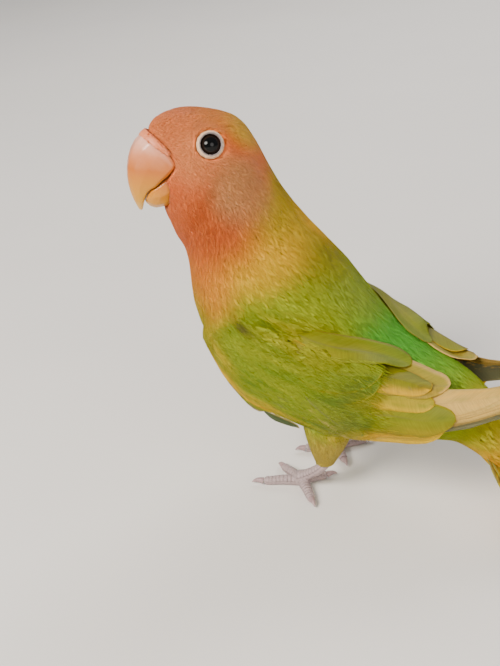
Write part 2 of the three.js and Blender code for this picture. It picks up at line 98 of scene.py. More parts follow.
class Socket:
    """One output socket of a shader, with the arithmetic that turns it into the next one."""

    def __init__(self, link, tree):
        self.link = link
        self.tree = tree

    def node(self, kind, settings=None, **inputs):
        made = self.tree.nodes.new(kind)
        for name, value in (settings or {}).items():
            if name == "stops":
                ramp = made.color_ramp
                while len(ramp.elements) < len(value):
                    ramp.elements.new(0.5)
                for stop, (place, colour) in zip(ramp.elements, value):
                    stop.position = place
                    stop.color = (*colour, 1)
            else:
                setattr(made, name, value)
        for name, value in inputs.items():
            key = int(name[1:]) if name[0] == "_" else name.replace("_", " ")
            if isinstance(value, Socket):
                self.tree.links.new(value.link, made.inputs[key])
            elif value is not None:
                made.inputs[key].default_value = value
        return made

    def out(self, kind, settings=None, output=0, **inputs):
        return Socket(self.node(kind, settings, **inputs).outputs[output], self.tree)

    def maths(self, operation, *terms):
        terms = {f"_{k}": term for k, term in enumerate(terms)}
        return self.out("ShaderNodeMath", {"operation": operation}, **terms)

    def __add__(self, other):
        return self.maths("ADD", self, other)

    def __sub__(self, other):
        return self.maths("SUBTRACT", self, other)

    def __mul__(self, other):
        return self.maths("MULTIPLY", self, other)

    def __truediv__(self, other):
        return self.maths("DIVIDE", self, other)

    def __radd__(self, other):
        return self.maths("ADD", other, self)

    def __rsub__(self, other):
        return self.maths("SUBTRACT", other, self)

    def __rmul__(self, other):
        return self.maths("MULTIPLY", other, self)

    def __rtruediv__(self, other):
        return self.maths("DIVIDE", other, self)

    def size(self):
        return self.maths("ABSOLUTE", self)

    def root(self):
        return self.maths("SQRT", self)

    def wave(self):
        return self.maths("SINE", self)

    def larger(self, other):
        return self.maths("MAXIMUM", self, other)

    def ease(self, low, high):
        """0 below low and 1 above high, with a smooth step between."""
        settings = {"interpolation_type": "SMOOTHSTEP"}
        return self.out("ShaderNodeMapRange", settings, _0=self, _1=low, _2=high)

    def mixed(self, share, first, second, mode):
        made = self.node("ShaderNodeMix", {"data_type": "RGBA", "blend_type": mode}, _0=share)
        for key, value in ((6, first), (7, second)):
            if isinstance(value, Socket):
                self.tree.links.new(value.link, made.inputs[key])
            else:
                made.inputs[key].default_value = (*value, 1)
        return Socket(made.outputs[2], self.tree)

    def blend(self, first, second, mode="MIX"):
        """A mix of two colours or colour sockets, with this socket as the share of the second."""
        return self.mixed(self, first, second, mode)

    def times(self, colour):
        """This colour multiplied by another."""
        return self.mixed(1.0, self, colour, "MULTIPLY")

    def axis(self, k):
        return self.out("ShaderNodeSeparateXYZ", output=k, _0=self)

    def stretch(self, x, y, z):
        return self.out("ShaderNodeVectorMath", {"operation": "MULTIPLY"}, _0=self, _1=(x, y, z))

    def dot(self, direction):
        """How far this vector reaches along a fixed direction."""
        settings = {"operation": "DOT_PRODUCT"}
        return self.out("ShaderNodeVectorMath", settings, output=1, _0=self, _1=tuple(direction))

    def cloud(self, scale, detail=2.0, rough=0.5):
        """Noise from 0 to 1, read at this vector."""
        grain = {"Scale": scale, "Detail": detail, "Roughness": rough}
        return self.out("ShaderNodeTexNoise", Vector=self, **grain)


def tint(red, green, blue):
    """A colour of 0 to 255 as seen on a screen, as the linear values that a shader wants."""
    shades = (red, green, blue)
    return tuple(((c / 255 + 0.055) / 1.055) ** 2.4 if c > 10 else c / 3295 for c in shades)


def finish(name, **fixed):
    """A new material: its shader with the uniform values set, and a first socket to build on."""
    material = bpy.data.materials.new(name)
    material.use_nodes = True
    tree = material.node_tree
    shader = tree.nodes["Principled BSDF"]
    for key, value in fixed.items():
        shader.inputs[key.replace("_", " ")].default_value = value
    start = Socket(None, tree)
    place = start.out("ShaderNodeTexCoord", output=3)
    return material, shader, place


def wire(shader, key, socket):
    socket.tree.links.new(socket.link, shader.inputs[key])


def bump(height, strength, distance):
    return height.out("ShaderNodeBump", Strength=strength, Distance=distance, Height=height)


floor_finish, shader, place = finish("floor_matt", Roughness=0.85)
wire(shader, "Base Color", place.cloud(9.0, 3.0).blend((0.72, 0.69, 0.65), (0.78, 0.75, 0.71)))
studio_floor.data.materials.append(floor_finish)

# Skin: the bare skin of head, neck, body, arms, thighs and the root of the tail, all of one piece.
# It is made from merged copies of the solids, drawn in by the depth of the plumage that grows on
# it, and it carries the markings of that plumage.

# Measures are in the bird's own millimetres. It faces -X with its left side toward -Y, and its head
# is turned to its left and lifted a little, with axes of its own: forward, left and up.
HEAD_YAW = math.radians(46)
HEAD_PITCH = math.radians(13)
HEAD_CENTRE = np.array((-25.9, -1.6, 97.2))
FORWARD = np.array((
    -math.cos(HEAD_YAW) * math.cos(HEAD_PITCH),
    -math.sin(HEAD_YAW) * math.cos(HEAD_PITCH),
    math.sin(HEAD_PITCH),
))
LEFT = np.array((math.sin(HEAD_YAW), -math.cos(HEAD_YAW), 0))
UP = -np.cross(LEFT, FORWARD)
HEAD_AXES = np.stack((FORWARD, LEFT, UP))
EYE_TURN = np.array((0.1, 0.92, 0.37)) / math.hypot(0.1, 0.92, 0.37)
EYE_MIDDLE = -1.87


def on_head(forward, left, up):
    return HEAD_CENTRE + np.array((forward, left, up)) @ HEAD_AXES


def eye_spot(side, out=0.0):
    """A point on an eye's own axis, out from the middle of its ring of lids."""
    f, l, u = EYE_TURN
    return on_head(0.2, side * 9.1, 0.1) + out * (np.array((f, side * l, u)) @ HEAD_AXES)


# The frame's metres have the middle of the solids at x = 0: the left eye shows how far that is.
near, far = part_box("eye_left")
HOME = np.array(((near[0] + far[0]) / 2 - eye_spot(1, EYE_MIDDLE)[0] / 1000, 0, 0))


def in_metres(points):
    return points / 1000 + HOME


def unit(v):
    return v / np.maximum(np.linalg.norm(v, axis=-1, keepdims=True), 1e-9)


def ease(a, b, x):
    t = np.clip((x - a) / (b - a), 0, 1)
    return t * t * (3 - 2 * t)


def between(rows, t):
    """Smooth curves through rows of numbers, read at an array of places."""
    rows = np.asarray(rows, float)
    t = np.asarray(t, float)
    i = np.clip(np.floor(t).astype(int), 0, len(rows) - 2)
    s = (t - i)[..., None]
    p0, p1, p2, p3 = (rows[np.clip(i + k, 0, len(rows) - 1)] for k in (-1, 0, 1, 2))
    a = (p2 - p0) / 2
    b = (p3 - p1) / 2
    first = (2 * s**3 - 3 * s**2 + 1) * p1 + (s**3 - 2 * s**2 + s) * a
    return first + (3 * s**2 - 2 * s**3) * p2 + (s**3 - s**2) * b


def made_mesh(name, points, faces, layers=None):
    """An object from points in the bird's own millimetres, with attributes of its points."""
    mesh = bpy.data.meshes.new(name)
    faces = faces.tolist() if isinstance(faces, np.ndarray) else faces
    mesh.from_pydata(in_metres(points).tolist(), [], faces)
    for key, values in (layers or {}).items():
        coloured = values.shape[1] == 4
        layer = mesh.attributes.new(key, "FLOAT_COLOR" if coloured else "FLOAT_VECTOR", "POINT")
        field = "color" if coloured else "vector"
        layer.data.foreach_set(field, values.astype(np.float32).ravel())
    mesh.polygons.foreach_set("use_smooth", [True] * len(mesh.polygons))
    piece = bpy.data.objects.new(name, mesh)
    bpy.context.collection.objects.link(piece)
    return piece


def alone(piece):
    bpy.ops.object.select_all(action="DESELECT")
    bpy.context.view_layer.objects.active = piece
    piece.select_set(True)


def applied(piece, kind, **settings):
    """Adds a modifier to a piece and applies it."""
    alone(piece)
    modifier = piece.modifiers.new(kind.lower(), kind)
    for key, value in settings.items():
        setattr(modifier, key, value)
    bpy.ops.object.modifier_apply(modifier=modifier.name)


WELD = 2e-6


def copy_of(name, nodes, swell=0.0, extra=()):
    """One mesh from merged copies of solids and of extra shapes, each swollen a little first."""
    whole = bmesh.new()
    for source in [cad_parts[node].data for node in nodes] + list(extra):
        part = bmesh.new()
        part.from_mesh(source)
        bmesh.ops.remove_doubles(part, verts=part.verts, dist=WELD)
        part.normal_update()
        for v in part.verts:
            v.co += v.normal * swell / 1000
        corners = [whole.verts.new(v.co) for v in part.verts]
        for face in part.faces:
            whole.faces.new([corners[v.index] for v in face.verts])
        part.free()
    mesh = bpy.data.meshes.new(name)
    whole.to_mesh(mesh)
    whole.free()
    piece = bpy.data.objects.new(name, mesh)
    bpy.context.collection.objects.link(piece)
    return piece


# A folded wing lies on a curved sheet over the flank. Along it, each row has x, then y and z of the
# lower edge, y and z of the upper edge, and the bulge. The far wing droops from DROOP_FROM on.
WING = [
    (-26, -17.0, 43.0, -17.2, 46.0, 0.2), (-20, -18.8, 40.0, -19.2, 48.8, 0.6),
    (-14, -20.4, 35.6, -20.6, 53.4, 1.2), (-8, -20.2, 31.2, -20.8, 56.8, 2.2),
    (0, -19.0, 28.2, -19.6, 58.6, 3.6), (8, -18.2, 26.2, -17.0, 56.8, 4.9),
    (16, -17.8, 25.0, -13.4, 52.6, 5.3), (24, -17.4, 26.4, -11.0, 47.6, 4.5),
    (32, -16.8, 28.2, -9.8, 43.6, 3.2), (40, -16.2, 29.6, -9.4, 41.0, 2.0),
    (46, -15.8, 31.8, -9.4, 40.4, 1.3), (52, -15.4, 34.4, -9.2, 41.2, 1.0),
    (60, -13.6, 38.2, -8.0, 43.6, 0.7), (70, -10.0, 40.2, -5.0, 44.4, 0.5),
    (84, -4.2, 40.6, 0, 44.0, 0.3), (92, -1.0, 40.0, 3.0, 43.0, 0.3),
]
DROOP = {1: 0, -1: 0.075}
DROOP_FROM = 22


def wing_sheet(side, x, m, h):
    """Points at x, m above the lower edge and h out from the sheet, and the way out there."""
    x, m, h = np.broadcast_arrays(np.asarray(x, float), m, h)
    stops = [row[0] for row in WING]
    rows = between(WING, np.interp(x, stops, range(len(WING))))
    y1, z1, y2, z2, bulge = (rows[..., k] for k in range(1, 6))
    span = np.hypot(y2 - y1, z2 - z1)
    v = m / span
    up = ((y2 - y1) / span, (z2 - z1) / span)
    sag = bulge * 4 * v * (1 - v)
    slope = bulge * 4 * (1 - 2 * v) / span
    size = np.hypot(1, slope)
    normal = ((-up[1] - slope * up[0]) / size, (up[0] - slope * up[1]) / size)
    y = y1 + up[0] * m - up[1] * sag + normal[0] * h
    z = z1 + up[1] * m + up[0] * sag + normal[1] * h - DROOP[side] * np.maximum(0, x - DROOP_FROM)
    return np.stack((x, y * side, z), -1), np.stack((0 * x, normal[0] * side, normal[1]), -1)


def tube_faces(rings, around):
    """Faces of a closed tube of rings, with a fan at each end round two last points."""
    faces = []
    for i in range(rings - 1):
        for j in range(around):
            a, b = i * around + j, i * around + (j + 1) % around
            faces.append((a, b, b + around, a + around))
    end = rings * around
    for j in range(around):
        faces.append((end, (j + 1) % around, j))
        faces.append((end + 1, end - around + j, end - around + (j + 1) % around))
    return faces


def turned_outward(piece):
    whole = bmesh.new()
    whole.from_mesh(piece.data)
    bmesh.ops.recalc_face_normals(whole, faces=whole.faces)
    whole.to_mesh(piece.data)
    whole.free()
    return piece


def lofted(name, rings):
    """A closed mesh over rings of points, all with the same count."""
    rings = np.asarray(rings)
    points = np.concatenate((rings.reshape(-1, 3), rings[[0, -1]].mean(axis=1)))
    return turned_outward(made_mesh(name, points, tube_faces(len(rings), rings.shape[1])))


ARM = [
    (0, 0.16, 0.1), (0.08, 0.44, 0.8), (0.2, 0.74, 1.5),
    (0.42, 0.98, 1.9), (0.72, 0.98, 1.8), (1, 0.84, 1.3),
]


def wing_pad(side):
    """The arm of a folded wing, under its small feathers."""
    shares = np.array((-1, -0.6, -0.2, 0.2, 0.6, 1))
    rings = []
    for s, half, lift in ARM:
        x = -22.5 + 37.5 * s
        m = 6.5 + 8.5 * math.sqrt(s) + shares * half * (13.5 - 0.5 * s)
        upper = wing_sheet(side, x, m, lift - 1.3 * shares**2)[0]
        rings.append(np.concatenate((upper, wing_sheet(side, x, m, -2.8)[0][::-1])))
    return lofted(f"pad_{side}", rings)


# Each row of the tail's root has x and z of its upper side, x and z of its under side, half width.
TAIL_CORE = [
    (52.6, 31.2, 42.8, 21.2, 8.7), (55.4, 28.0, 47.4, 19.8, 8.6), (58.6, 23.8, 52.6, 17.2, 8.2),
    (62.2, 18.8, 59.0, 14.6, 7.2), (66.4, 14.0, 65.2, 12.2, 5.4),
]


def tail_core():
    """The fleshy root of the tail, under its coverts."""
    turn = np.linspace(0, 2 * math.pi, 18, endpoint=False)
    rings = []
    for x1, z1, x2, z2, half in between(TAIL_CORE, np.linspace(0, 4, 9)):
        c, s = np.cos(turn), np.sin(turn)
        x = (x1 + x2) / 2 + (x1 - x2) / 2 * c
        z = (z1 + z2) / 2 + (z1 - z2) / 2 * c
        rings.append(np.stack((x, half * s, z), -1))
    rings[0] = rings[0] - (3, 0, -1)
    return lofted("core", rings)


# How the plumage lies: each row has a spot, which way the feathers point there and how long they
# are. Head spots are in the head's own axes. Both sides of the bird are alike.
LIE_HEAD = [
    (13, 0, 7, -0.55, 0, 0.8, 2.0), (14, 5, 3, -0.6, 0.5, 0.5, 1.9),
    (6, 0, 10, -0.9, 0, 0.35, 2.4), (0, 4, 9, -1, 0, 0.05, 2.8), (-7, 3, 6, -0.9, 0, -0.4, 3.4),
    (-12, 6, 0, -0.7, 0, -0.75, 4.0), (10, 7, 1, -0.9, 0.3, 0.15, 1.8),
    (3, 9, 6, -1, 0.1, 0.1, 2.2), (-6, 11, -1, -0.9, 0, -0.35, 2.8),
    (10, 8, -6, -0.75, 0.35, -0.4, 1.9), (2, 11, -9, -0.8, 0.1, -0.6, 2.6),
    (-7, 14, -9, -0.8, 0.1, -0.65, 3.2), (9, 3, -18, -0.4, 0.3, -0.85, 2.2),
    (2, 10, -18, -0.5, 0.1, -0.85, 3.0), (-6, 16, -19, -0.6, 0, -0.8, 3.7),
    (3, 4, -26, -0.15, 0, -1, 3.6),
]
LIE_BODY = [
    (-20, 13, 73, 0.2, 0.1, -1, 4.2), (-9, 8, 80, 0.45, 0.05, -0.85, 4.4),
    (-6, 2, 84, 0.5, 0, -0.85, 4.6), (2, 6, 72, 0.75, 0, -0.65, 5.6),
    (12, 6, 61, 0.8, 0, -0.6, 6.4), (10, 13, 55, 0.9, 0, -0.4, 6.0),
    (22, 4, 49, 0.82, 0, -0.56, 6.6), (34, 4, 43, 0.9, 0, -0.42, 7.0),
    (48, 3, 34, 0.8, 0, -0.6, 7.0), (-32, 3, 62, 0.05, 0, -1, 5.2),
    (-24, 15, 60, 0.3, 0.1, -0.95, 5.0), (-29, 3, 46, 0.4, 0, -0.9, 6.0),
    (-10, 17, 62, 0.6, 0, -0.8, 5.2), (-18, 10, 34, 0.8, 0, -0.6, 6.4),
    (0, 5, 25, 1, 0, -0.2, 6.8), (20, 6, 20, 1, 0, 0, 6.8), (38, 5, 20, 0.95, 0, -0.1, 6.6),
    (6, 19, 36, 0.9, 0, -0.3, 6.0), (30, 15, 30, 0.95, 0, -0.15, 6.2),
    (12, 13, 20, 0.25, 0, -0.95, 4.6), (10, 13, 12, 0, 0, -1, 2.8),
    (-24, 18, 44, 0.75, 0.1, -0.6, 3.0), (-14, 22, 48, 0.92, 0, -0.35, 3.4),
    (-14, 22, 38, 0.9, 0, -0.4, 3.2), (-2, 24, 50, 0.95, 0, -0.3, 4.4),
    (-2, 23, 38, 0.95, 0, -0.28, 4.2), (-8, 22, 56, 0.9, 0, -0.4, 4.4),
    (8, 24, 47, 0.95, 0, -0.3, 5.6), (8, 23, 36, 0.96, 0, -0.24, 5.4),
    (20, 22, 40, 0.95, 0, -0.3, 7.0), (58, 5, 20, 0.8, 0, -0.6, 6.0),
]


def lie_at(points):
    """The way the feathers lie, not yet laid on the skin, and their length."""
    local = (points - HEAD_CENTRE) @ HEAD_AXES.T
    spots, ways, lengths = [], [], []
    for side in (1, -1):
        for f, l, u, df, dl, du, length in LIE_HEAD:
            spots.append(on_head(f, side * l, u))
            ways.append(unit(np.array((df, side * dl, du))) @ HEAD_AXES)
            lengths.append(length)
        for x, y, z, dx, dy, dz, length in LIE_BODY:
            spots.append((x, -side * y, z))
            ways.append(unit(np.array((dx, -side * dy, dz))))
            lengths.append(length)
    gap = points[:, None] - np.array(spots)[None]
    weight = 1 / ((gap**2).sum(-1) + 4) ** 2
    weight /= weight.sum(1, keepdims=True)
    way = unit(weight @ np.array(ways))
    length = weight @ np.array(lengths)
    for side in (1, -1):
        off = points - eye_spot(side)
        away = unit(off)
        near = 1 - ease(4, 9, np.linalg.norm(off, axis=1))
        inward = np.maximum(0, 0.25 - (way * away).sum(1))
        way = unit(way + away * (inward * near)[:, None])
        length = length * (1 - 0.3 * near)
    muzzle = ease(16, 8, np.linalg.norm(local - (15, 0, -4), axis=1))
    return way, length * (1 - 0.12 * muzzle)


# The markings are soft patches painted one over another, each with its middle, its reach along each
# axis, how soft its edge is, and its colour as seen. Two of them also carry painted shade: the
# throat under the chin is darker than its own colour, and a dark strip lies in the crease along the
# top of the wing by its bend. The skin and every feather read them. Those of the wing are given on
# its sheet, by x and by the height above the lower edge.
HEAD_MARKS_AND_SHADE = [
    ((-9, 0, -2), (14, 30, 15), 0.30, (184, 164, 56)),
    ((-15, 12, -10), (9, 16, 14), 0.45, (176, 152, 48)),
    ((1, 0, -8), (18.2, 24.5, 22.4), 0.07, (220, 122, 82)),
    ((0, 0, 6), (15, 9.5, 7.5), 0.35, (224, 138, 76)),
    ((11, 0, 2), (9, 12, 9), 0.5, (230, 134, 94)),
    ((4, 11, -3), (9, 7, 8), 0.55, (232, 142, 102)),
    # Throat under the chin: the rear edge of the rosy bib, darkened further with painted shade from
    # the chin.
    ((-3, 14, -20), (9, 14, 9), 0.6, (190, 98, 58)),
    ((-7, 15, -9), (7.5, 9, 8.5), 0.5, (184, 130, 92)),
    ((-6.5, 8.5, 3), (3.4, 4.5, 4.2), 0.6, (206, 104, 60)),
    ((-9.5, 3, 4), (5.5, 8, 5.5), 0.5, (204, 162, 70)),
]
BODY_MARKS = [
    ((36, 0, 40), (26, 16, 14), 0.4, (126, 176, 56)),
    ((55, 0, 30), (12, 12, 11), 0.5, (186, 182, 62)),
    ((26, 0, 48), (14, 13, 8), 0.5, (84, 170, 58)),
    ((14, 0, 60), (10, 10, 9), 0.5, (138, 162, 62)),
    ((3, 0, 71), (12, 15, 10), 0.5, (138, 134, 34)),
    ((-8, 12, 72), (12, 18, 10.5), 0.4, (230, 186, 60)),
    ((-22, 0, 62), (14, 30, 14), 0.3, (228, 156, 72)),
    ((-26, 0, 70), (12, 24, 12), 0.35, (236, 138, 76)),
    ((-24, 8, 50), (12, 16, 9), 0.5, (196, 170, 56)),
    ((-26, 10, 42), (16, 20, 11), 0.45, (152, 156, 44)),
    ((12, 13, 16), (8, 8, 9), 0.4, (192, 176, 84)),
    ((0, 0, 26), (30, 14, 10), 0.5, (150, 152, 58)),
    ((56, 0, 16), (20, 14, 9), 0.4, (226, 168, 52)),
]
WING_MARKS_AND_SHADE = [
    ((0, 15), (1e3, 1e3), 0.1, (128, 148, 42)),
    ((-17, 8), (7, 7), 0.5, (158, 152, 40)),
    ((-8, 2.8), (14, 2.1), 0.5, (196, 174, 44)),
    # Dark strip in the crease between the top edge of the wing and the body, near the bend: painted
    # shade.
    ((-9, 23.7), (4.6, 1.3), 0.6, (74, 66, 34)),
    ((14, 25), (16, 5), 0.5, (148, 154, 38)),
    ((19, 4), (7, 3.6), 0.6, (116, 128, 52)),
    ((22, 12), (6, 5), 0.7, (112, 130, 50)),
    ((35, -2.2), (18, 3.2), 0.5, (226, 180, 62)),
    ((34, 8.5), (9, 2.0), 0.5, (178, 160, 58)),
    ((39, 10.6), (2.6, 1.6), 0.6, (134, 110, 58)),
]
GREEN = (152, 170, 50)


def dye(shade):
    """The shader's colour for plumage that should look like a shade of 0 to 255. It makes up for
    the light that is lost and mixed between the barbs."""
    linear = np.array(tint(*shade))
    return np.clip((linear - 0.12 * linear.mean()) * (1.37, 1.24, 0.94), 0.004, 1.2)


def on_sheet(points):
    """The x of points, their height above a wing's lower edge, and how far they lie out from it."""
    x = points[:, 0]
    rows = between(WING, np.interp(x, [row[0] for row in WING], range(len(WING))))
    y1, z1, y2, z2, bulge = rows[:, 1], rows[:, 2], rows[:, 3], rows[:, 4], rows[:, 5]
    span = np.hypot(y2 - y1, z2 - z1)
    y = -np.abs(points[:, 1]) - y1
    droop = np.where(points[:, 1] > 0, DROOP[-1], DROOP[1])
    z = points[:, 2] - z1 + droop * np.maximum(0, x - DROOP_FROM)
    m = (y * (y2 - y1) + z * (z2 - z1)) / span
    h = (z * (y2 - y1) - y * (z2 - z1)) / span - bulge * 4 * m / span * (1 - m / span)
    return x, m, h, span


def painted(points):
    """The plumage colour at points in the bird's own millimetres, with painted shade under the chin
    and in the crease along the top of the wing.
    """
    colour = np.tile(dye(GREEN), (len(points), 1))
    wave = np.array([noise.noise(Vector(p * 0.22)) for p in points])

    def patches(marks, where, limit):
        nonlocal colour
        for middle, reach, soft, shade in marks:
            far = np.linalg.norm((where - middle) / reach, axis=1) + 0.10 * wave * (soft + 0.3)
            share = (1 - ease(1 - soft, 1 + soft, far)) * limit
            colour = colour + (dye(shade) - colour) * share[:, None]

    patches(BODY_MARKS, points * (1, 0, 1) + np.abs(points) * (0, 1, 0), 1)
    x, m, h, span = on_sheet(points)
    on_wing = ease(-5, -2.5, h) * (1 - ease(span - 2.5, span + 1.5, m))
    on_wing = on_wing * ease(-4, -2.5, m) * ease(-25, -19, x)
    patches(WING_MARKS_AND_SHADE, np.stack((x, m), -1), on_wing)
    slant = np.stack((x * 0.10, (m + x * 0.12) * 0.62, np.full(len(x), 7.0)), -1)
    streak = np.array([noise.noise(Vector(p)) for p in slant])
    colour = colour * (1 + np.outer(on_wing * streak, (0.7, 0.4, 0.5)))
    local = (points - HEAD_CENTRE) @ HEAD_AXES.T
    patches(HEAD_MARKS_AND_SHADE, local * (1, 0, 1) + np.abs(local) * (0, 1, 0), 1)
    return np.clip(colour, 0.003, 0.92)


# The outline of the plumage, over the gaps between the solids, and the skin some way inside it.
FLESH = ("head", "neck", "torso", "thigh_left", "thigh_right")
SWELL = 0.22
SKIN_DEPTH = 0.06
pads = [wing_pad(1), wing_pad(-1), tail_core()]
outline = copy_of("outline", FLESH, SWELL, [pad.data for pad in pads])
for pad in pads:
    bpy.data.objects.remove(pad)
applied(outline, "REMESH", mode="VOXEL", voxel_size=0.00075)
applied(outline, "SMOOTH", factor=0.5, iterations=8)


def mesh_points(piece):
    flat = np.empty(len(piece.data.vertices) * 3)
    piece.data.vertices.foreach_get("co", flat)
    return (flat.reshape(-1, 3) - HOME) * 1000


def mesh_normals(piece):
    flat = np.empty(len(piece.data.vertices) * 3, np.float32)
    piece.data.vertex_normals.foreach_get("vector", flat)
    return flat.reshape(-1, 3).astype(float)


outline_points = mesh_points(outline)
outline_normals = mesh_normals(outline)
outline_faces = [tuple(face.vertices) for face in outline.data.polygons]
depth = SWELL + SKIN_DEPTH * lie_at(outline_points)[1]
colour = painted(outline_points)
colour = np.column_stack((colour, np.ones(len(colour))))
skin_points = outline_points - outline_normals * depth[:, None]
skin = made_mesh("skin", skin_points, outline_faces, {"plumage": colour})
bpy.data.objects.remove(outline)
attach(skin, "root")
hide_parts(*FLESH)

skin_finish, shader, place = finish("skin_down", Roughness=0.8)
shade = place.out("ShaderNodeAttribute", {"attribute_name": "plumage"})
grain = place.cloud(1400, 2.0)
wire(shader, "Base Color", (grain * 0.3).blend(shade, (0.6, 0.5, 0.3), "MULTIPLY"))
wire(shader, "Normal", bump(grain, 0.3, 0.0003))
skin.data.materials.append(skin_finish)

# Small feathers: each is a thin soft vane on a raised shaft, with a margin split into barbs. It is
# rooted in the skin, and its tip lies over the roots of those behind it. Wisps are the loose single
# barbs that stand out between the vanes.
def pattern(ribs, edges, keel):
    """Points as (along, across, raise) and the faces of one small feather or wisp. With a keel it
    has a shaft below as well as above."""
    n = len(ribs)
    points = [(s, 0, 1) for s in ribs]
    points += [(s, w, 0) for s, w in edges] + [(s, -w, 0) for s, w in edges]
    points += [(1, 0, 0)] + ([(s, 0, -1) for s in ribs] if keel else [])
    end = 3 * n
    faces = []

    def strip(a, b, c, d, flip):
        for face in ((a, b, c), (a, c, d)):
            faces.append(face[::-1] if flip else face)

    for shaft, flip in ((0, False), (end + 1, True))[: 2 if keel else 1]:
        for k in range(n - 1):
            strip(shaft + k, shaft + k + 1, n + k + 1, n + k, flip)
            strip(shaft + k, shaft + k + 1, 2 * n + k + 1, 2 * n + k, not flip)
        for edge, turn in ((n, flip), (2 * n, not flip)):
            face = (shaft + n - 1, end, edge + n - 1)
            faces.append(face[::-1] if turn else face)
    if keel:
        faces += [(0, n, end + 1), (0, end + 1, 2 * n)]
    else:
        for k in range(n - 1):
            strip(n + k, n + k + 1, 2 * n + k + 1, 2 * n + k, False)
        faces += [(n + n - 1, end, 2 * n + n - 1), (0, n, 2 * n)]
    return np.array(points, float), np.array(faces)


# For each kind: the shape, then how far it reaches, how wide half of it is and how deep its root
# lies, each from the length n of the plumage there, and how much tip, way and dye vary.
PLUME = {
    "shape": pattern(
        (0, 0.24, 0.44, 0.60, 0.74, 0.87),
        [(0, 0.4), (0.24, 0.85), (0.52, 1.0), (0.50, 0.74), (0.78, 0.86), (0.75, 0.5)],
        True,
    ),
    "reach": lambda n: n,
    "half": lambda n: 0.18 * n + 0.12,
    "depth": lambda n: 0.08 * n + 0.1,
    "tip": (-0.02, 0.015),
    "spread": 0.10,
    "dyed": 0.025,
}
WISP = {
    "shape": pattern((0, 0.5), [(0, 0.7), (0.5, 1.0)], False),
    "reach": lambda n: 0.7 * n + 0.6,
    "half": lambda n: 0.006 * n + 0.034,
    "depth": lambda n: np.full(len(n), 0.10),
    "tip": (0.0, 0.07),
    "spread": 0.13,
    "dyed": 0.045,
}
WALK = 4


class Surface:
    """A mesh to lay feathers on, in the bird's own millimetres, with a way out of each face."""

    def __init__(self, points, normals, faces):
        self.tree = BVHTree.FromPolygons(points.tolist(), faces)
        self.outs = unit(np.array([normals[list(face)].mean(axis=0) for face in faces]))

    def near(self, p):
        spot, _, face, _ = self.tree.find_nearest(p)
        return spot, Vector(self.outs[face])

    def laid(self, start, way, length):
        """Walks each feather's shaft over the surface: its places and ways out at each stop."""
        spots = np.empty((len(start), WALK + 1, 3))
        outs = np.empty_like(spots)
        for i, (p, d, reach) in enumerate(zip(start, way, length)):
            here, step = Vector(p), Vector(d)
            for k in range(WALK + 1):
                spot, n = self.near(here)
                spots[i, k] = spot
                outs[i, k] = n
                step = (step - n * step.dot(n)).normalized()
                here = spot + step * (reach / WALK)
        return spots, outs


body = Surface(outline_points, outline_normals, outline_faces)
outline_corners = np.array([face if len(face) == 4 else (*face, face[2]) for face in outline_faces])


def strewn(seed, count, spacing):
    """Random places on the outline, closer together where the spacing is small."""
    draw = np.random.default_rng(seed)
    q = outline_points[outline_corners]
    area = np.linalg.norm(np.cross(q[:, 2] - q[:, 0], q[:, 3] - q[:, 1]), axis=1) / 2
    share = area / spacing(q.mean(axis=1)) ** 2
    picks = draw.choice(len(area), count, p=share / share.sum())
    u, v = draw.random((2, count, 1))
    q = q[picks]
    return (q[:, 0] * (1 - u) + q[:, 1] * u) * (1 - v) + (q[:, 3] * (1 - u) + q[:, 2] * u) * v


def thinned(spots, room):
    """Drops places until none is nearer another than its room."""
    kept, cells, size = [], {}, float(room.max())
    ways = [(x, y, z) for x in (-1, 0, 1) for y in (-1, 0, 1) for z in (-1, 0, 1)]
    for i, (spot, need) in enumerate(zip(spots, room)):
        x, y, z = (spot // size).astype(int)
        close = [j for a, b, c in ways for j in cells.get((x + a, y + b, z + c), ())]
        if not close or ((spots[close] - spot) ** 2).sum(1).min() > need * need:
            cells.setdefault((x, y, z), []).append(i)
            kept.append(i)
    return spots[kept]


def tree_of(*nodes):
    """A search tree over solids, in the bird's own millimetres."""
    points, faces = [], []
    for node in nodes:
        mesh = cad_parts[node].data
        start = len(points)
        points += [((np.array(v.co) - HOME) * 1000).tolist() for v in mesh.vertices]
        faces += [[start + k for k in face.vertices] for face in mesh.polygons]
    return BVHTree.FromPolygons(points, faces)


bill_tree = tree_of("bill_upper", "bill_lower", "cere")
cover_tree = tree_of("wing_left", "wing_right", "tail")
BILL_ROOM = 0.12
LID_ROOM = 3.85


def grown(points):
    """The places where small feathers grow: not by the bill, in the lids, or under wing or tail."""
    kept = []
    for i, p in enumerate(points):
        out = body.near(Vector(p))[1]
        if bill_tree.find_nearest(Vector(p))[3] < BILL_ROOM:
            continue
        if min(np.linalg.norm(p - eye_spot(side, -0.8)) for side in (1, -1)) < LID_ROOM:
            continue
        if cover_tree.ray_cast(Vector(p) + out * 0.9, out, 9.0)[0] is None:
            kept.append(i)
    return points[kept]


SPINE = [
    (-36, -12, 99), (-28, -4, 98), (-24, -1, 90), (-22, -1, 80), (-18, 0, 68), (-12, 0, 56),
    (-4, 0, 46), (8, 0, 38), (20, 0, 33), (34, 0, 29), (48, 0, 26), (62, 0, 17),
]
SPINE_STEPS = 220


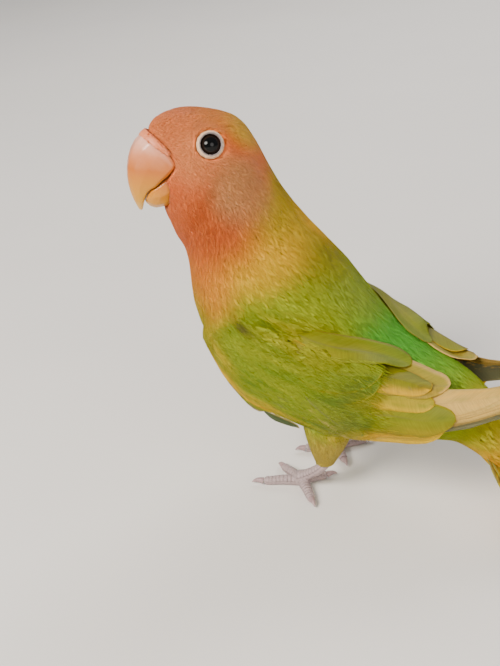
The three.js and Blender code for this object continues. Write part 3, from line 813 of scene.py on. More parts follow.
def unwrapped(points):
    """Each point's place on the skin rolled out flat: along the spine, and round it."""
    stops = between(SPINE, np.linspace(0, len(SPINE) - 1, SPINE_STEPS + 1))
    near = np.empty(len(points), int)
    for i in range(0, len(points), 2000):
        gap = ((points[i : i + 2000, None] - stops[None]) ** 2).sum(-1)
        near[i : i + 2000] = gap.argmin(axis=1)
    ahead = unit(np.gradient(stops, axis=0))[near]
    off = points - stops[near]
    beside = unit(np.cross(ahead, (0, 0, 1.0)) + (0, 1e-6, 0))
    above = np.cross(beside, ahead)
    turn = np.arctan2((off * beside).sum(1), (off * above).sum(1)) / (2 * math.pi) + 0.5
    return np.stack((0.01 + 0.98 * turn, 0.01 + 0.98 * near / SPINE_STEPS), -1)


def mapped(piece, flat):
    """Gives a piece its OFBake map from one place for each of its points."""
    bake = piece.data.uv_layers.new(name="OFBake")
    loops = np.empty(len(piece.data.loops), int)
    piece.data.loops.foreach_get("vertex_index", loops)
    bake.data.foreach_set("uv", flat[loops].astype(np.float32).ravel())


CAMBER = 22
OFF_FLOOR = 0.05


def coat(name, surface, points, seed, slot, kind, down=SWELL):
    """One joined mesh of small feathers or wisps rooted at the given places on a surface, which may
    lie some way down inside its outline."""
    draw = np.random.default_rng(seed)
    shape_points, shape_faces = kind["shape"]
    count = len(points)
    way, length = lie_at(points)
    length = length * draw.uniform(0.82, 1.2, count)
    normals = np.array([surface.near(Vector(p))[1] for p in points])
    way = unit(way - normals * (way * normals).sum(1, keepdims=True))
    way = unit(way + np.cross(normals, way) * draw.normal(0, kind["spread"], (count, 1)))
    half = kind["half"](length) * draw.uniform(0.85, 1.15, count)
    depth = kind["depth"](length)[:, None]
    length = kind["reach"](length)
    spots, outs = surface.laid(points, way, length)
    s, across, rise = shape_points.T
    at = s * WALK
    k = np.minimum(at.astype(int), WALK - 1)
    part = (at - k)[None, :, None]
    shaft = spots[:, k] * (1 - part) + spots[:, k + 1] * part
    out = unit(outs[:, k] * (1 - part) + outs[:, k + 1] * part)
    along = unit(spots[:, k + 1] - spots[:, k] + way[:, None] * 1e-4)
    over = np.cross(out, along)
    ragged = 1 + draw.normal(0, 0.10, (count, len(s))) * (np.abs(across) > 0)
    bend = draw.normal(0, 0.07, (count, 1)) * length[:, None] * s**2
    lift = draw.uniform(*kind["tip"], (count, 1)) * np.minimum(1, length / 3)[:, None]
    height = lift - down - (depth + lift) * (1 - s) ** 1.9
    height = height + rise * (0.012 + 0.014 * half)[:, None] * (1 - 0.6 * s)
    height = height - (half[:, None] * across) ** 2 / CAMBER
    side = across * ragged * half[:, None] + bend
    verts = shaft + over * side[..., None] + out * height[..., None]
    verts[..., 2] = np.maximum(verts[..., 2], OFF_FLOOR)
    n = len(s)
    faces = (shape_faces[None] + np.arange(count)[:, None, None] * n).reshape(-1, 3)
    share = (s * 0.6)[None, :, None]
    colour = painted(points)[:, None] * (1 - share) + painted(spots[:, -1])[:, None] * share
    colour = colour * (1 + draw.normal(0, kind["dyed"], (count, 1, 1)))
    colour = colour * (1 + draw.normal(0, kind["dyed"] * 0.5, (count, 1, 3)))
    colour = np.clip(colour * (0.95 + 0.07 * s[None, :, None]), 0, 1)
    own = draw.random((count, 1)) * 50
    barb = np.stack(np.broadcast_arrays(side, s * length[:, None], own), -1)
    layers = {
        "plumage": np.column_stack((colour.reshape(-1, 3), np.ones(count * n))),
        "barb": barb.reshape(-1, 3),
    }
    piece = made_mesh(name, verts.reshape(-1, 3), faces, layers)
    patch = np.stack((0.0013 * across + 0.0002 * rise, 0.0028 * (s - 0.5)), -1)
    mapped(piece, (unwrapped(points)[:, None] + patch[None]).reshape(-1, 2))
    piece.data.materials.append(coat_finish)
    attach(piece, "root")
    return piece


coat_finish, shader, place = finish(
    "feather_down", Roughness=0.7, Specular_IOR_Level=0.25, Subsurface_Weight=0.4,
    Subsurface_Scale=0.0012, Subsurface_Radius=(1.0, 0.8, 0.5),
)
shade = place.out("ShaderNodeAttribute", {"attribute_name": "plumage"})
barb = place.out("ShaderNodeAttribute", {"attribute_name": "barb"}, output=1)
strand = barb.stretch(5.0, 0.7, 1.0).cloud(1.3, 3.0, 0.6)
streak = strand.ease(0.3, 0.72).blend((0.90, 0.89, 0.85), (1.06, 1.05, 1.02))
wire(shader, "Base Color", shade.times(streak))
wire(shader, "Normal", bump(strand, 0.15, 0.0001))


def zones(points):
    """Divides places among the pieces of the coat: head, fore body, mid body and hind body."""
    local = (points - HEAD_CENTRE) @ HEAD_AXES.T
    head = np.linalg.norm((local - (0, 0, -8)) / (19, 24, 23), axis=1) < 1.12
    head &= local[:, 2] > -27
    x = points[:, 0]
    yield "head", "face_plumage", points[head]
    yield "fore", "neck_plumage", points[~head & (x < -6)]
    yield "mid", "body_plumage", points[~head & (x >= -6) & (x < 16)]
    yield "hind", "body_plumage", points[~head & (x >= 16)]


MOST_TRIANGLES = 185000


def coated(name, points, seed, kind):
    """Makes the coat pieces of one kind, each well under 200,000 triangles."""
    for number, (zone, slot, spots) in enumerate(zones(points)):
        parts = math.ceil(len(spots) * len(kind["shape"][1]) / MOST_TRIANGLES)
        for part in range(parts):
            label = f"{name}_{zone}" + (f"_{part + 1}" if parts > 1 else "")
            coat(label, body, spots[part::parts], seed + 10 * number + part, slot, kind)


plume_tries, plume_room, wisp_count = ((56000, 0.225, 92000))
plume_spots = strewn(11, plume_tries, lambda p: lie_at(p)[1])
plume_spots = grown(thinned(plume_spots, plume_room * lie_at(plume_spots)[1]))
coated("plumes", plume_spots, 100, PLUME)
wisp_spots = grown(strewn(12, wisp_count, lambda p: lie_at(p)[1] + 2.5))
coated("wisps", wisp_spots, 200, WISP)

# Wings: stiff flat feathers with a horny shaft, rooted in the arm and laid one upon another, each
# row over the roots of the one behind. A feather is one closed blade, thickest at the shaft, with
# a slightly split margin. Small feathers like those of the body cover the front of the wing.
ALONG = 1 - (1 - np.linspace(0, 1, 17)) ** 1.5
ACROSS = np.array((-1, -0.8, -0.55, -0.3, -0.07, 0, 0.07, 0.3, 0.55, 0.8, 1))


def blade(start, round_from, power):
    """Half width along a vane, as shares of the whole: narrow at the root, rounded at the tip."""
    swell = start + (1 - start) * ease(0, 0.42, ALONG)
    taper = 1 - (np.maximum(0, ALONG - round_from) / (1 - round_from)) ** power
    return np.maximum(swell * np.sqrt(np.maximum(taper, 0)), 0.03)


LONG = blade(0.45, 0.62, 2.6)
ROUND = blade(0.6, 0.6, 2.8)


def blade_faces():
    rows, wide = len(ALONG), len(ACROSS)
    n = rows * wide
    faces = []
    for i in range(rows - 1):
        for j in range(wide - 1):
            a = i * wide + j
            b, c, d = a + wide, a + wide + 1, a + 1
            faces.append((a, d, c, b))
            faces.append((n + a, n + b, n + c, n + d))
    rim = list(range(wide)) + [i * wide + wide - 1 for i in range(1, rows)]
    rim += [(rows - 1) * wide + j for j in range(wide - 2, -1, -1)]
    rim += [i * wide for i in range(rows - 2, 0, -1)]
    for p, q in zip(rim, rim[1:] + rim[:1]):
        faces.append((p, n + p, n + q, q))
    return np.array(faces)


# A flat vane throws back more light than the small feathers do, so its dyes are fainter, and those
# that it takes from the markings around it are fainter still.
BLADE_FACES = blade_faces()
FADED = np.array((0.58, 0.60, 0.46))
SHADED = (0.80, 0.78, 0.62)


def vanes(name, feathers, seed, flip=False, pile=None):
    """One joined mesh of vanes. Each feather is a dict: its place, outline, size and colours. On a
    wing it rests on the pile of those already laid."""
    draw = np.random.default_rng(seed)
    points, maps = [], []
    layers = {"ground": [], "edge": [], "vane": [], "barb": [], "traits": []}
    columns = math.ceil(math.sqrt(len(feathers) * 3.0))
    rows = math.ceil(len(feathers) / columns)
    for i, feather in enumerate(feathers):
        s, w = np.meshgrid(ALONG, ACROSS, indexing="ij")
        half = feather["half"]
        length = feather["length"]
        profile = feather["outline"] * (1 + draw.normal(0, 0.012, len(ALONG)))
        margin = np.repeat(profile[:, None], len(ACROSS), axis=1)
        for _ in range(draw.integers(0, 3)):
            row, side = draw.integers(8, 15), draw.choice((0, -1))
            margin[row, side] *= draw.uniform(0.86, 0.95)
        across = w * margin * half
        shaft = np.exp(-((w / 0.12) ** 2)) * 0.07 * (1 - 0.75 * s)
        thick = 0.05 + 0.13 * (1 - np.abs(w)) * (1 - 0.6 * s)
        if pile:
            spot, out = pile.rested(feather, s, across, thick)
        else:
            spot, out = feather["place"](s, across)
        rough = draw.normal(0, 0.01, s.shape) * s
        top = spot + out * (shaft + thick * 0.4 + rough)[..., None]
        under = spot - out * (thick * 0.6)[..., None]
        points += [top.reshape(-1, 3), under.reshape(-1, 3)]
        count = s.size * 2
        number = draw.uniform(0, 90)
        jitter = 1 + draw.normal(0, 0.025)
        ground = painted(top.reshape(-1, 3)) * FADED * SHADED
        if feather["ground"]:
            own, share = feather["ground"]
            ground = ground * (1 - share) + dye(own) * FADED * share
        ground = np.column_stack((ground * jitter, np.ones(s.size)))
        layers["ground"].append(np.tile(ground, (2, 1)))
        edge = (*(dye(feather["edge"]) * FADED * jitter), 1)
        layers["edge"].append(np.tile(edge, (count, 1)))
        inward = np.minimum((1 - np.abs(w)) * margin * half, (1 - s) * length)
        vane = np.stack((w, s, inward), -1).reshape(-1, 3)
        layers["vane"].append(np.tile(vane, (2, 1)))
        slant = s * length - 0.9 * np.abs(across)
        strand = np.stack((slant, across, np.full(s.shape, number)), -1)
        layers["barb"].append(np.tile(strand.reshape(-1, 3), (2, 1)))
        layers["traits"].append(np.tile(feather["traits"], (count, 1)))
        column, row = i % columns, i // columns
        for face_side in (0, 1):
            u = (column + (face_side + 0.06 + 0.88 * (w + 1) / 2) / 2) / columns
            v = (row + 0.04 + 0.92 * s) / rows
            maps.append(np.stack((u, v), -1).reshape(-1, 2))
    n = len(ALONG) * len(ACROSS) * 2
    faces = (BLADE_FACES[None] + np.arange(len(feathers))[:, None, None] * n).reshape(-1, 4)
    if flip:
        faces = faces[:, ::-1]
    layers = {key: np.concatenate(value) for key, value in layers.items()}
    piece = made_mesh(name, np.concatenate(points), faces, layers)
    mapped(piece, np.concatenate(maps))
    piece.data.materials.append(vane_finish)
    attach(piece, "root")
    return piece


def swept(grid, reach, pick):
    """Each point of a grid takes the highest, lowest or mean of its neighbours."""
    for axis in (0, 1):
        grid = pick([np.roll(grid, k, axis) for k in range(-reach, reach + 1)], axis=0)
    return grid


PITCH = 0.4
FRONT_X, FRONT_M = slice(12, 190), slice(16, 94)


class Pile:
    """The height of what lies on a wing's sheet, so that each new feather rests on it. The front
    part of it carries the small feathers."""

    def __init__(self, side):
        self.side = side
        self.x = np.arange(-30, 96, PITCH)
        self.m = np.arange(-8, 35, PITCH)
        x, m = np.meshgrid(self.x, self.m, indexing="ij")
        spots, outs = wing_sheet(side, x, m, 0.0)
        span = on_sheet(spots.reshape(-1, 3))[3].reshape(x.shape)
        back = 2.6 * ease(span - 7, span + 1, m) * (1 - ease(34, 44, x))
        self.top = -0.5 - back - 4 * (1 - ease(-12, -2, x))
        self.base = self.top + 0.1
        for k in np.ndindex(x.shape):
            hit = body.tree.ray_cast(Vector(spots[k] + outs[k] * 9), -Vector(outs[k]), 14.0)
            if hit[0] is not None:
                self.top[k] = max(self.top[k], 9.15 - hit[3])

    def high(self, grid, x, m):
        """A grid read at places between its points."""
        a = np.clip((x - self.x[0]) / PITCH, 0, len(self.x) - 1.001)
        b = np.clip((m - self.m[0]) / PITCH, 0, len(self.m) - 1.001)
        i, j = a.astype(int), b.astype(int)
        u, v = a - i, b - j
        low = grid[i, j] * (1 - u) + grid[i + 1, j] * u
        return low * (1 - v) + (grid[i, j + 1] * (1 - u) + grid[i + 1, j + 1] * u) * v

    def rested(self, feather, s, across, thick):
        """Lays a feather on the pile and adds it to the pile."""
        x0, m0, x1, m1 = feather["line"]
        length = feather["length"]
        x = x0 + (x1 - x0) * s - across * (m1 - m0) / length
        m = m0 + (m1 - m0) * s + feather["bow"] * 4 * s * (1 - s) + across * (x1 - x0) / length
        under = self.high(swept(self.top, 2, np.max), x, m)
        smooth = under
        for _ in range(3):
            wide = np.pad(smooth, ((1, 1), (1, 1)), mode="edge")
            around = wide[:-2, 1:-1] + wide[2:, 1:-1] + wide[1:-1, :-2] + wide[1:-1, 2:]
            smooth = around / 8 + smooth / 2
        h = np.maximum(under, smooth) + 0.03 + thick * 0.6
        h = h - feather["sink"] * np.maximum(0, 1 - s / 0.36) ** 2
        dense = [np.linspace(0, n - 1, count) for n, count in zip(s.shape, (260, 41))]
        rows, wide = (d.astype(int).clip(0, n - 2) for d, n in zip(dense, s.shape))
        u, v = (dense[0] - rows)[:, None], (dense[1] - wide)[None]
        fine = []
        for grid in (x, m, h + thick * 0.4):
            a, b = grid[rows][:, wide], grid[rows + 1][:, wide]
            c, d = grid[rows][:, wide + 1], grid[rows + 1][:, wide + 1]
            fine.append((a * (1 - u) + b * u) * (1 - v) + (c * (1 - u) + d * u) * v)
        i = np.rint((fine[0] - self.x[0]) / PITCH).astype(int).clip(0, len(self.x) - 1)
        j = np.rint((fine[1] - self.m[0]) / PITCH).astype(int).clip(0, len(self.m) - 1)
        np.maximum.at(self.top, (i, j), fine[2])
        return wing_sheet(self.side, x, m, h)

    def cover(self):
        """A smooth surface over all that lies on the front of the wing, its points and the sheet's
        ways out there, and where it has something solid under it."""
        top = swept(swept(self.top, 1, np.max), 3, np.mean)
        x, m = np.meshgrid(self.x[FRONT_X], self.m[FRONT_M], indexing="ij")
        points, outs = wing_sheet(self.side, x, m, top[FRONT_X, FRONT_M])
        normal = unit(np.cross(np.gradient(points, axis=0), np.gradient(points, axis=1)))
        normal *= np.sign((normal * (0, -self.side, 0)).sum(-1, keepdims=True))
        k = np.arange(x.size).reshape(x.shape)
        faces = np.stack((k[:-1, :-1], k[1:, :-1], k[1:, 1:], k[:-1, 1:]), -1).reshape(-1, 4)
        sure = swept(self.top - self.base, 2, np.min)[FRONT_X, FRONT_M] > 0
        surface = Surface(points.reshape(-1, 3), normal.reshape(-1, 3), faces.tolist())
        return surface, points, outs, sure


def row_of(count, low, high, outline, looks, bow=0.0, wobble=0.35, sink=0.9, seed=1):
    """A row of wing feathers from its lowest to its highest. Each end gives root x, root m,
    tip x, tip m and half width."""
    draw = np.random.default_rng(seed)
    feathers = []
    for i in range(count):
        t = i / (count - 1) if count > 1 else 0
        x0, m0, x1, m1, half = np.array(low) * (1 - t) + np.array(high) * t
        x1 += draw.normal(0, wobble)
        m1 += draw.normal(0, wobble * 0.4)
        ground, edge, traits = looks(t)
        feathers.append({
            "line": (x0, m0, x1, m1), "length": math.hypot(x1 - x0, m1 - m0), "half": half,
            "outline": outline, "bow": bow, "sink": sink,
            "ground": ground, "edge": edge, "traits": traits,
        })
    return feathers


def fade(first, second, t):
    return tuple(a + (b - a) * t for a, b in zip(first, second))


def one(line, half, outline, ground, edge, traits, bow=0.0, sink=0.9):
    end = (*line, half)
    return row_of(1, end, end, outline, lambda t: (ground, edge, traits), bow, 0, sink)


# The looks of a feather are its own colour and the share of it, or None for the markings alone,
# then the colour of its rim, then how dusky it is and how wide its lower and its upper rim are.
def primary_looks(t):
    beige = fade((196, 162, 106), (216, 182, 126), min(1, t * 1.6))
    rim = fade((104, 90, 52), (214, 182, 130), min(1, t * 2))
    return (beige, 1.0), rim, (max(0.05, 0.9 - 2.2 * t), 0.9 - 0.6 * t, 0.3)


def secondary_looks(t):
    rim = fade((246, 204, 20), (190, 164, 30), min(1, t * 1.4))
    return None, rim, (0.1, 3.4 - 2.4 * t, 0.3)


def covert_looks(t):
    return None, (150, 146, 44), (0.12, 0.35, 0.2)


def folded_wing(tuck):
    """The feathers of one wing, from the lowest layer up."""
    front_edge = one(
        (-16, -0.4 + tuck, 4.2 - tuck, -3.9 + tuck), 2.1, LONG,
        ((62, 84, 44), 1.0), (176, 158, 112), (0.2, 0.0, 0.5), -1.3,
    )
    primaries = row_of(
        8, (-10, 4.5, 84.5, 2.2, 3.5), (4, 11, 60, 5.0, 3.6), LONG, primary_looks, seed=3
    )
    secondaries = row_of(
        5, (-8, 4.6, 44.8, -0.8, 3.2), (5, 13.5, 46.4, 2.8, 4.0), LONG, secondary_looks,
        bow=-0.6, wobble=0.3, seed=4,
    )
    inner_secondary = one(
        (4, 13, 48.2, 1.8), 4.4, ROUND, ((130, 132, 36), 0.7), (158, 146, 40), (0.1, 0.3, 0.2), -0.4
    )
    yellow_tertial = one(
        (2, 20, 42.5, 6.4), 3.2, ROUND, ((168, 156, 28), 0.7), (204, 174, 20), (0.1, 0.9, 0.15)
    )
    beige_tertial = one(
        (6, 22, 44.4, 10.4), 5.0, ROUND,
        ((168, 148, 80), 0.8), (222, 184, 130), (0.15, 0.0, 0.7), 0.9,
    )
    upper_tertial = one(
        (6, 24, 40.8, 10.2), 3.5, ROUND, ((130, 122, 40), 0.7), (214, 174, 20), (0.35, 1.3, 0.15)
    )
    greater_coverts = row_of(
        7, (-5, 5.5, 24.5, 3.4, 3.7), (6, 21.5, 30.0, 14.5, 4.0), ROUND, covert_looks,
        wobble=1.1, seed=6,
    )
    blue_covert = one(
        (9, 15.5, 25.4, -0.6), 2.6, ROUND,
        ((112, 126, 56), 0.9), (206, 188, 128), (0.05, 1.1, 0.0), 0.6,
    )
    shoulder_lobe = one(
        (5, 27.6, 33.0, 18.2), 3.3, ROUND,
        ((128, 132, 28), 0.8), (132, 118, 50), (0.15, 0.0, 0.2), 0.7, 3.0,
    )
    return (
        front_edge + primaries + secondaries + inner_secondary + yellow_tertial + beige_tertial
        + upper_tertial + greater_coverts + blue_covert + shoulder_lobe
    )


vane_finish, shader, place = finish(
    "flight_vane", Roughness=0.6, Specular_IOR_Level=0.18, Subsurface_Weight=0.2,
    Subsurface_Scale=0.001, Subsurface_Radius=(1.0, 0.8, 0.5),
)
vane = place.out("ShaderNodeAttribute", {"attribute_name": "vane"}, output=1)
traits = place.out("ShaderNodeAttribute", {"attribute_name": "traits"}, output=1)
ground = place.out("ShaderNodeAttribute", {"attribute_name": "ground"})
edge = place.out("ShaderNodeAttribute", {"attribute_name": "edge"})
barb = place.out("ShaderNodeAttribute", {"attribute_name": "barb"}, output=1)
u, v, inward = (vane.axis(k) for k in range(3))
strand = barb.stretch(3.2, 0.35, 1.0).cloud(1.0, 3.0, 0.6)
patchy = barb.stretch(0.14, 0.7, 1.0).cloud(1.0, 2.0, 0.5)
wander = (patchy - 0.5) * 0.5 + (strand - 0.5) * 0.25


def rim(width, where):
    """The part of a vane within an uneven width of its margin, on one side of its shaft."""
    share = ((width * (wander + 1) - inward) / (width * 0.7 + 0.1)).ease(-1.0, 1.0)
    return share * where.ease(-0.1, 0.1) * width.ease(0, 0.2)


rimmed = rim(traits.axis(1), 0 - u).larger(rim(traits.axis(2), u + v.ease(0.9, 1.0)))
ground = (patchy.ease(0.5, 0.74) * 0.6).blend(ground, (1.3, 1.16, 0.8), "MULTIPLY")
ground = ((1 - patchy).ease(0.52, 0.76) * 0.6).blend(ground, (0.66, 0.80, 0.8), "MULTIPLY")
tone = rimmed.blend(ground, edge)
mottle = barb.stretch(0.5, 0.9, 1.0).cloud(1.0, 2.0, 0.5)
dusk = (mottle * 1.4 + traits.axis(0) - 0.75 + (strand - 0.5) * 0.3 - u * 0.22).ease(0.42, 0.72)
tone = (dusk * (traits.axis(0) * 1.2).ease(0.0, 1.0)).blend(tone, (0.085, 0.085, 0.04))
shaft = (0.08 - u.size()).ease(0.0, 0.06) * (1 - v).ease(0.02, 0.5)
tone = (shaft * 0.35).blend(tone, (0.12, 0.10, 0.04))
streak = strand.ease(0.28, 0.74).blend((0.84, 0.83, 0.80), (1.07, 1.07, 1.04))
wire(shader, "Base Color", tone.times(streak))
wire(shader, "Normal", bump(strand, 0.25, 0.00012))

# Small feathers for the front of a wing: their kind, how many are tried, how far back they reach
# and how far they stay below the upper edge. They thin out over the last of their reach.
COVERTS = [("plumes", PLUME, 5000, 24, 2.6), ("wisps", WISP, 12000, 32, 0.4)]
FADE_OUT = 12
for side, word in ((1, "left"), (-1, "right")):
    pile = Pile(side)
    feathers = folded_wing(2 - 2 * side)
    wing = vanes(f"wing_feathers_{word}", feathers, 40 + side, side < 0, pile)
    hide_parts(f"wing_{word}")
    cover, cover_points, cover_outs, sure = pile.cover()
    for name, kind, count, reach, margin in COVERTS:
        draw = np.random.default_rng(70 + side + reach)
        x = draw.uniform(-23, reach, count)
        m = draw.uniform(-0.5, 30, count)
        stays = draw.random(count) < 1 - ease(reach - FADE_OUT, reach, x)
        across = ((x - pile.x[FRONT_X][0]) / PITCH).astype(int)
        up = ((m - pile.m[FRONT_M][0]) / PITCH).astype(int)
        spots = []
        for i, j, height, stay in zip(across, up, m, stays):
            if not stay or i >= sure.shape[0] or j >= sure.shape[1] or not sure[i, j]:
                continue
            p = cover_points[i, j] + (draw.uniform(-0.2, 0.2), 0, 0)
            out = cover.near(Vector(p))[1]
            under_coat = body.tree.ray_cast(Vector(p) + out * 3, -out, 2.9)[0] is not None
            span = on_sheet(p[None])[3][0]
            flat = out @ Vector(cover_outs[i, j]) > 0.9
            if not under_coat and height < span - margin and flat:
                spots.append(p)
        spots = np.array(spots)
        if kind is PLUME:
            spots = thinned(spots, 0.22 * lie_at(spots)[1])
        coat(f"{name}_wing_{word}", cover, spots, 80 + side, "wing_plumage", kind, down=0.0)

# Tail: twelve stiff feathers fanned out from its fleshy root, the middle pair on top, laid down to
# the floor. Softer coverts lie over their roots, above and below.
TAIL_ROOT = np.array((45.2, 0, 27.8))
TAIL_SLOPE = math.radians(36.5)
TAIL_LENGTH = 46.4
FAN_STEP = 4.0
TAIL_OFF_FLOOR = 0.12


def on_tail(along, across, h):
    c, s = math.cos(TAIL_SLOPE), math.sin(TAIL_SLOPE)
    spot = np.stack((along * c + h * s, across, h * c - along * s), -1) + TAIL_ROOT
    spot[..., 2] = np.maximum(spot[..., 2], TAIL_OFF_FLOOR)
    return spot, np.broadcast_to((s, 0, c), spot.shape)


def rectrix(side, k):
    """The long tail feather number k from the middle, on one side."""
    angle = math.radians(side * (1.8 + FAN_STEP * k))
    reach = TAIL_LENGTH - 0.28 * k * k

    def place(s, w):
        r = 4 + (reach - 4) * s
        across = math.sin(angle) * r + math.cos(angle) * w + side * 0.4
        h = -0.6 - 0.62 * k * ease(6, 26, r) + 0.16 * side * w
        h = h + (0.75 if side > 0 and k == 0 else 0)
        return on_tail(math.cos(angle) * r - math.sin(angle) * w, across, h)

    return {
        "place": place, "outline": LONG, "half": 4.3 - 0.1 * k, "length": reach - 4,
        "ground": (fade((196, 200, 70), (252, 204, 70), min(1, k / 2)), 1.0),
        "edge": (168, 170, 64), "traits": (0.25 + 0.06 * k, 0.5, 0.5),
    }


def tail_covert(side, k, above, draw):
    angle = math.radians(side * 6.0 * k)
    reach = (31 if above else 27) - 1.4 * k + draw.normal(0, 0.4)

    def place(s, w):
        r = 5 + (reach - 5) * s
        across = math.sin(angle) * r + math.cos(angle) * w
        if above:
            h = 4.7 + (1.2 - 4.7) * s - 0.7 * k + 0.1 * side * w
        else:
            h = -5.0 + 2.0 * s + 0.2 * k
        return on_tail(math.cos(angle) * r, across, h - 0.02 * w * w * (1 if above else -1))

    return {
        "place": place, "outline": ROUND, "half": 3.4, "length": reach - 5,
        "ground": ((184, 200, 70) if above else (248, 190, 60), 1.0),
        "edge": (186, 170, 56), "traits": (0, 0.4, 0.4),
    }


draw = np.random.default_rng(9)
fan = [rectrix(side, k) for k in range(5, -1, -1) for side in (-1, 1)]
fan += [tail_covert(side, k, True, draw) for k in (3, 2, 1) for side in (-1, 1)]
fan += [tail_covert(1, 0, True, draw)]
fan += [tail_covert(side, k, False, draw) for k in (2, 1) for side in (-1, 1)]
tail = vanes("tail_feathers", fan, 50)
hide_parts("tail")

# Bill: two horny sheaths over bone, pink at the root and ochre toward the tip, smooth and glossy
# with faint growth lines; the pale top at the root is whitened with painted highlight. The upper
# one hooks over the lower.
BILL_GRID = 0.00022


def smoothed(name, nodes, voxel, rounds):
    """A finely remeshed, smoothed copy of solids, which then takes their place."""
    piece = copy_of(name, nodes)
    applied(piece, "REMESH", mode="VOXEL", voxel_size=voxel)
    applied(piece, "SMOOTH", factor=0.5, iterations=rounds)
    piece.data.polygons.foreach_set("use_smooth", [True] * len(piece.data.polygons))
    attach(piece, "root")
    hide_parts(*nodes)
    return piece


def measured(place, direction, origin):
    """How far along a direction a point lies from an origin, in millimetres, as a socket."""
    return place.dot(direction) * 1000 - float(np.dot(in_metres(origin), direction)) * 1000


# The horn's colours, from the tip of the bill up to its root at the top. The pinkish white at the
# root is partly the horn's own pink and partly painted highlight.
HORN_AND_HIGHLIGHT = [
    (0.0, tint(200, 158, 84)), (0.14, tint(190, 134, 20)), (0.34, tint(188, 118, 8)),
    (0.50, tint(180, 96, 18)), (0.66, tint(200, 124, 82)), (1.0, tint(240, 194, 178)),
]
HORN_SPAN = 24
upper = smoothed("bill_upper_sheath", ("bill_upper",), BILL_GRID, 12)
lower = smoothed("bill_lower_sheath", ("bill_lower",), BILL_GRID, 8)
for piece, shift in ((upper, 0.0), (lower, 3.0)):
    horn, shader, place = finish(
        piece.name, Coat_Roughness=0.12, IOR=1.5, Specular_IOR_Level=0.35
    )
    rise = measured(place, UP, HEAD_CENTRE)
    ahead = measured(place, FORWARD, HEAD_CENTRE)
    cloudy = place.cloud(260, 3.0)
    # The ramp rises with height, so the top of each sheath at its root is the palest: horn pink
    # with painted highlight.
    level = (rise + 19 + shift + (cloudy - 0.5) * 3 + ahead * 0.12) / HORN_SPAN
    tone = level.out("ShaderNodeValToRGB", {"stops": HORN_AND_HIGHLIGHT}, _0=level)
    lines = (rise * 2.2 + (cloudy - 0.5) * 2).wave()
    stained = (cloudy - 0.5).ease(0.0, 0.5) * 0.25
    wire(shader, "Base Color", stained.blend(tone, tint(200, 134, 44)))
    wire(shader, "Roughness", cloudy * 0.2 + 0.25)
    wire(shader, "Coat Weight", cloudy * 0.2 + 0.25)
    wire(shader, "Normal", bump(lines * 0.3 + place.cloud(1500, 3.0), 0.12, 0.00012))
    piece.data.materials.append(horn)

# Cere: a soft fleshy saddle over the root of the bill, flatter than its solid. Tiny feathers grow
# over it and leave only a thin pale rim bare where it meets the horn.
RIDGE = [
    (9.8, 6.2, -3.9), (11.4, 5.8, -2.6), (13.5, 4.6, -1.3), (15.3, 2.4, -0.2), (16.2, 0, 0.1),
    (15.3, -2.4, -0.2), (13.5, -4.6, -1.3), (11.4, -5.8, -2.6), (9.8, -6.2, -3.9),
]
FLATTENED = 0.85
BARE_RIM = 1.0


def moved(piece, points):
    """Gives a piece's points new places in the bird's own millimetres."""
    piece.data.vertices.foreach_set("co", in_metres(points).ravel())
    piece.data.update()


cere = smoothed("cere_flesh", ("cere",), BILL_GRID, 5)
ridge = between([on_head(*row) for row in RIDGE], np.linspace(0, 8, 161))
points = mesh_points(cere)
close = np.array([ridge[((ridge - p) ** 2).sum(1).argmin()] for p in points])
rising = unit(close - on_head(8, 0, -7))
above = np.maximum(0, ((points - close) * rising).sum(1) - 0.05)
points -= rising * (above * FLATTENED)[:, None]
moved(cere, points)
normals = mesh_normals(cere)
saddle = Surface(points, normals, [tuple(face.vertices) for face in cere.data.polygons])
behind = ((points - close) * unit(FORWARD - 0.2 * UP)).sum(1) < BARE_RIM
draw = np.random.default_rng(61)
spots = points[behind & ((normals * rising).sum(1) > -0.1)]
spots = spots[draw.permutation(len(spots))]
rooted = thinned(spots, np.full(len(spots), 0.42))
coat("plumes_cere", saddle, rooted, 62, "face_plumage", PLUME, down=0.0)
coat("wisps_cere", saddle, spots[:1500], 63, "face_plumage", WISP, down=0.0)
cere_finish, shader, place = finish("cere_flesh", Roughness=0.5)
ahead = measured(place, unit(FORWARD + 0.6 * UP), HEAD_CENTRE)
grain = place.cloud(1800, 3.0)
tone = (ahead + (grain - 0.5)).ease(13.6, 15.8).blend(tint(216, 124, 80), tint(220, 150, 118))
wire(shader, "Base Color", (grain * 0.3).blend(tone, tint(204, 110, 70)))
wire(shader, "Normal", bump(grain, 0.3, 0.0002))
cere.data.materials.append(cere_finish)

# Eyes: a dark brown ball with a wide black pupil under a wet, glossy cornea, which bulges a little.
# The ball sits in its socket behind the ring of lids.
EYE_RADIUS = 0.0032
CORNEA_REACH = 4.4
CORNEA_RISE = 0.14

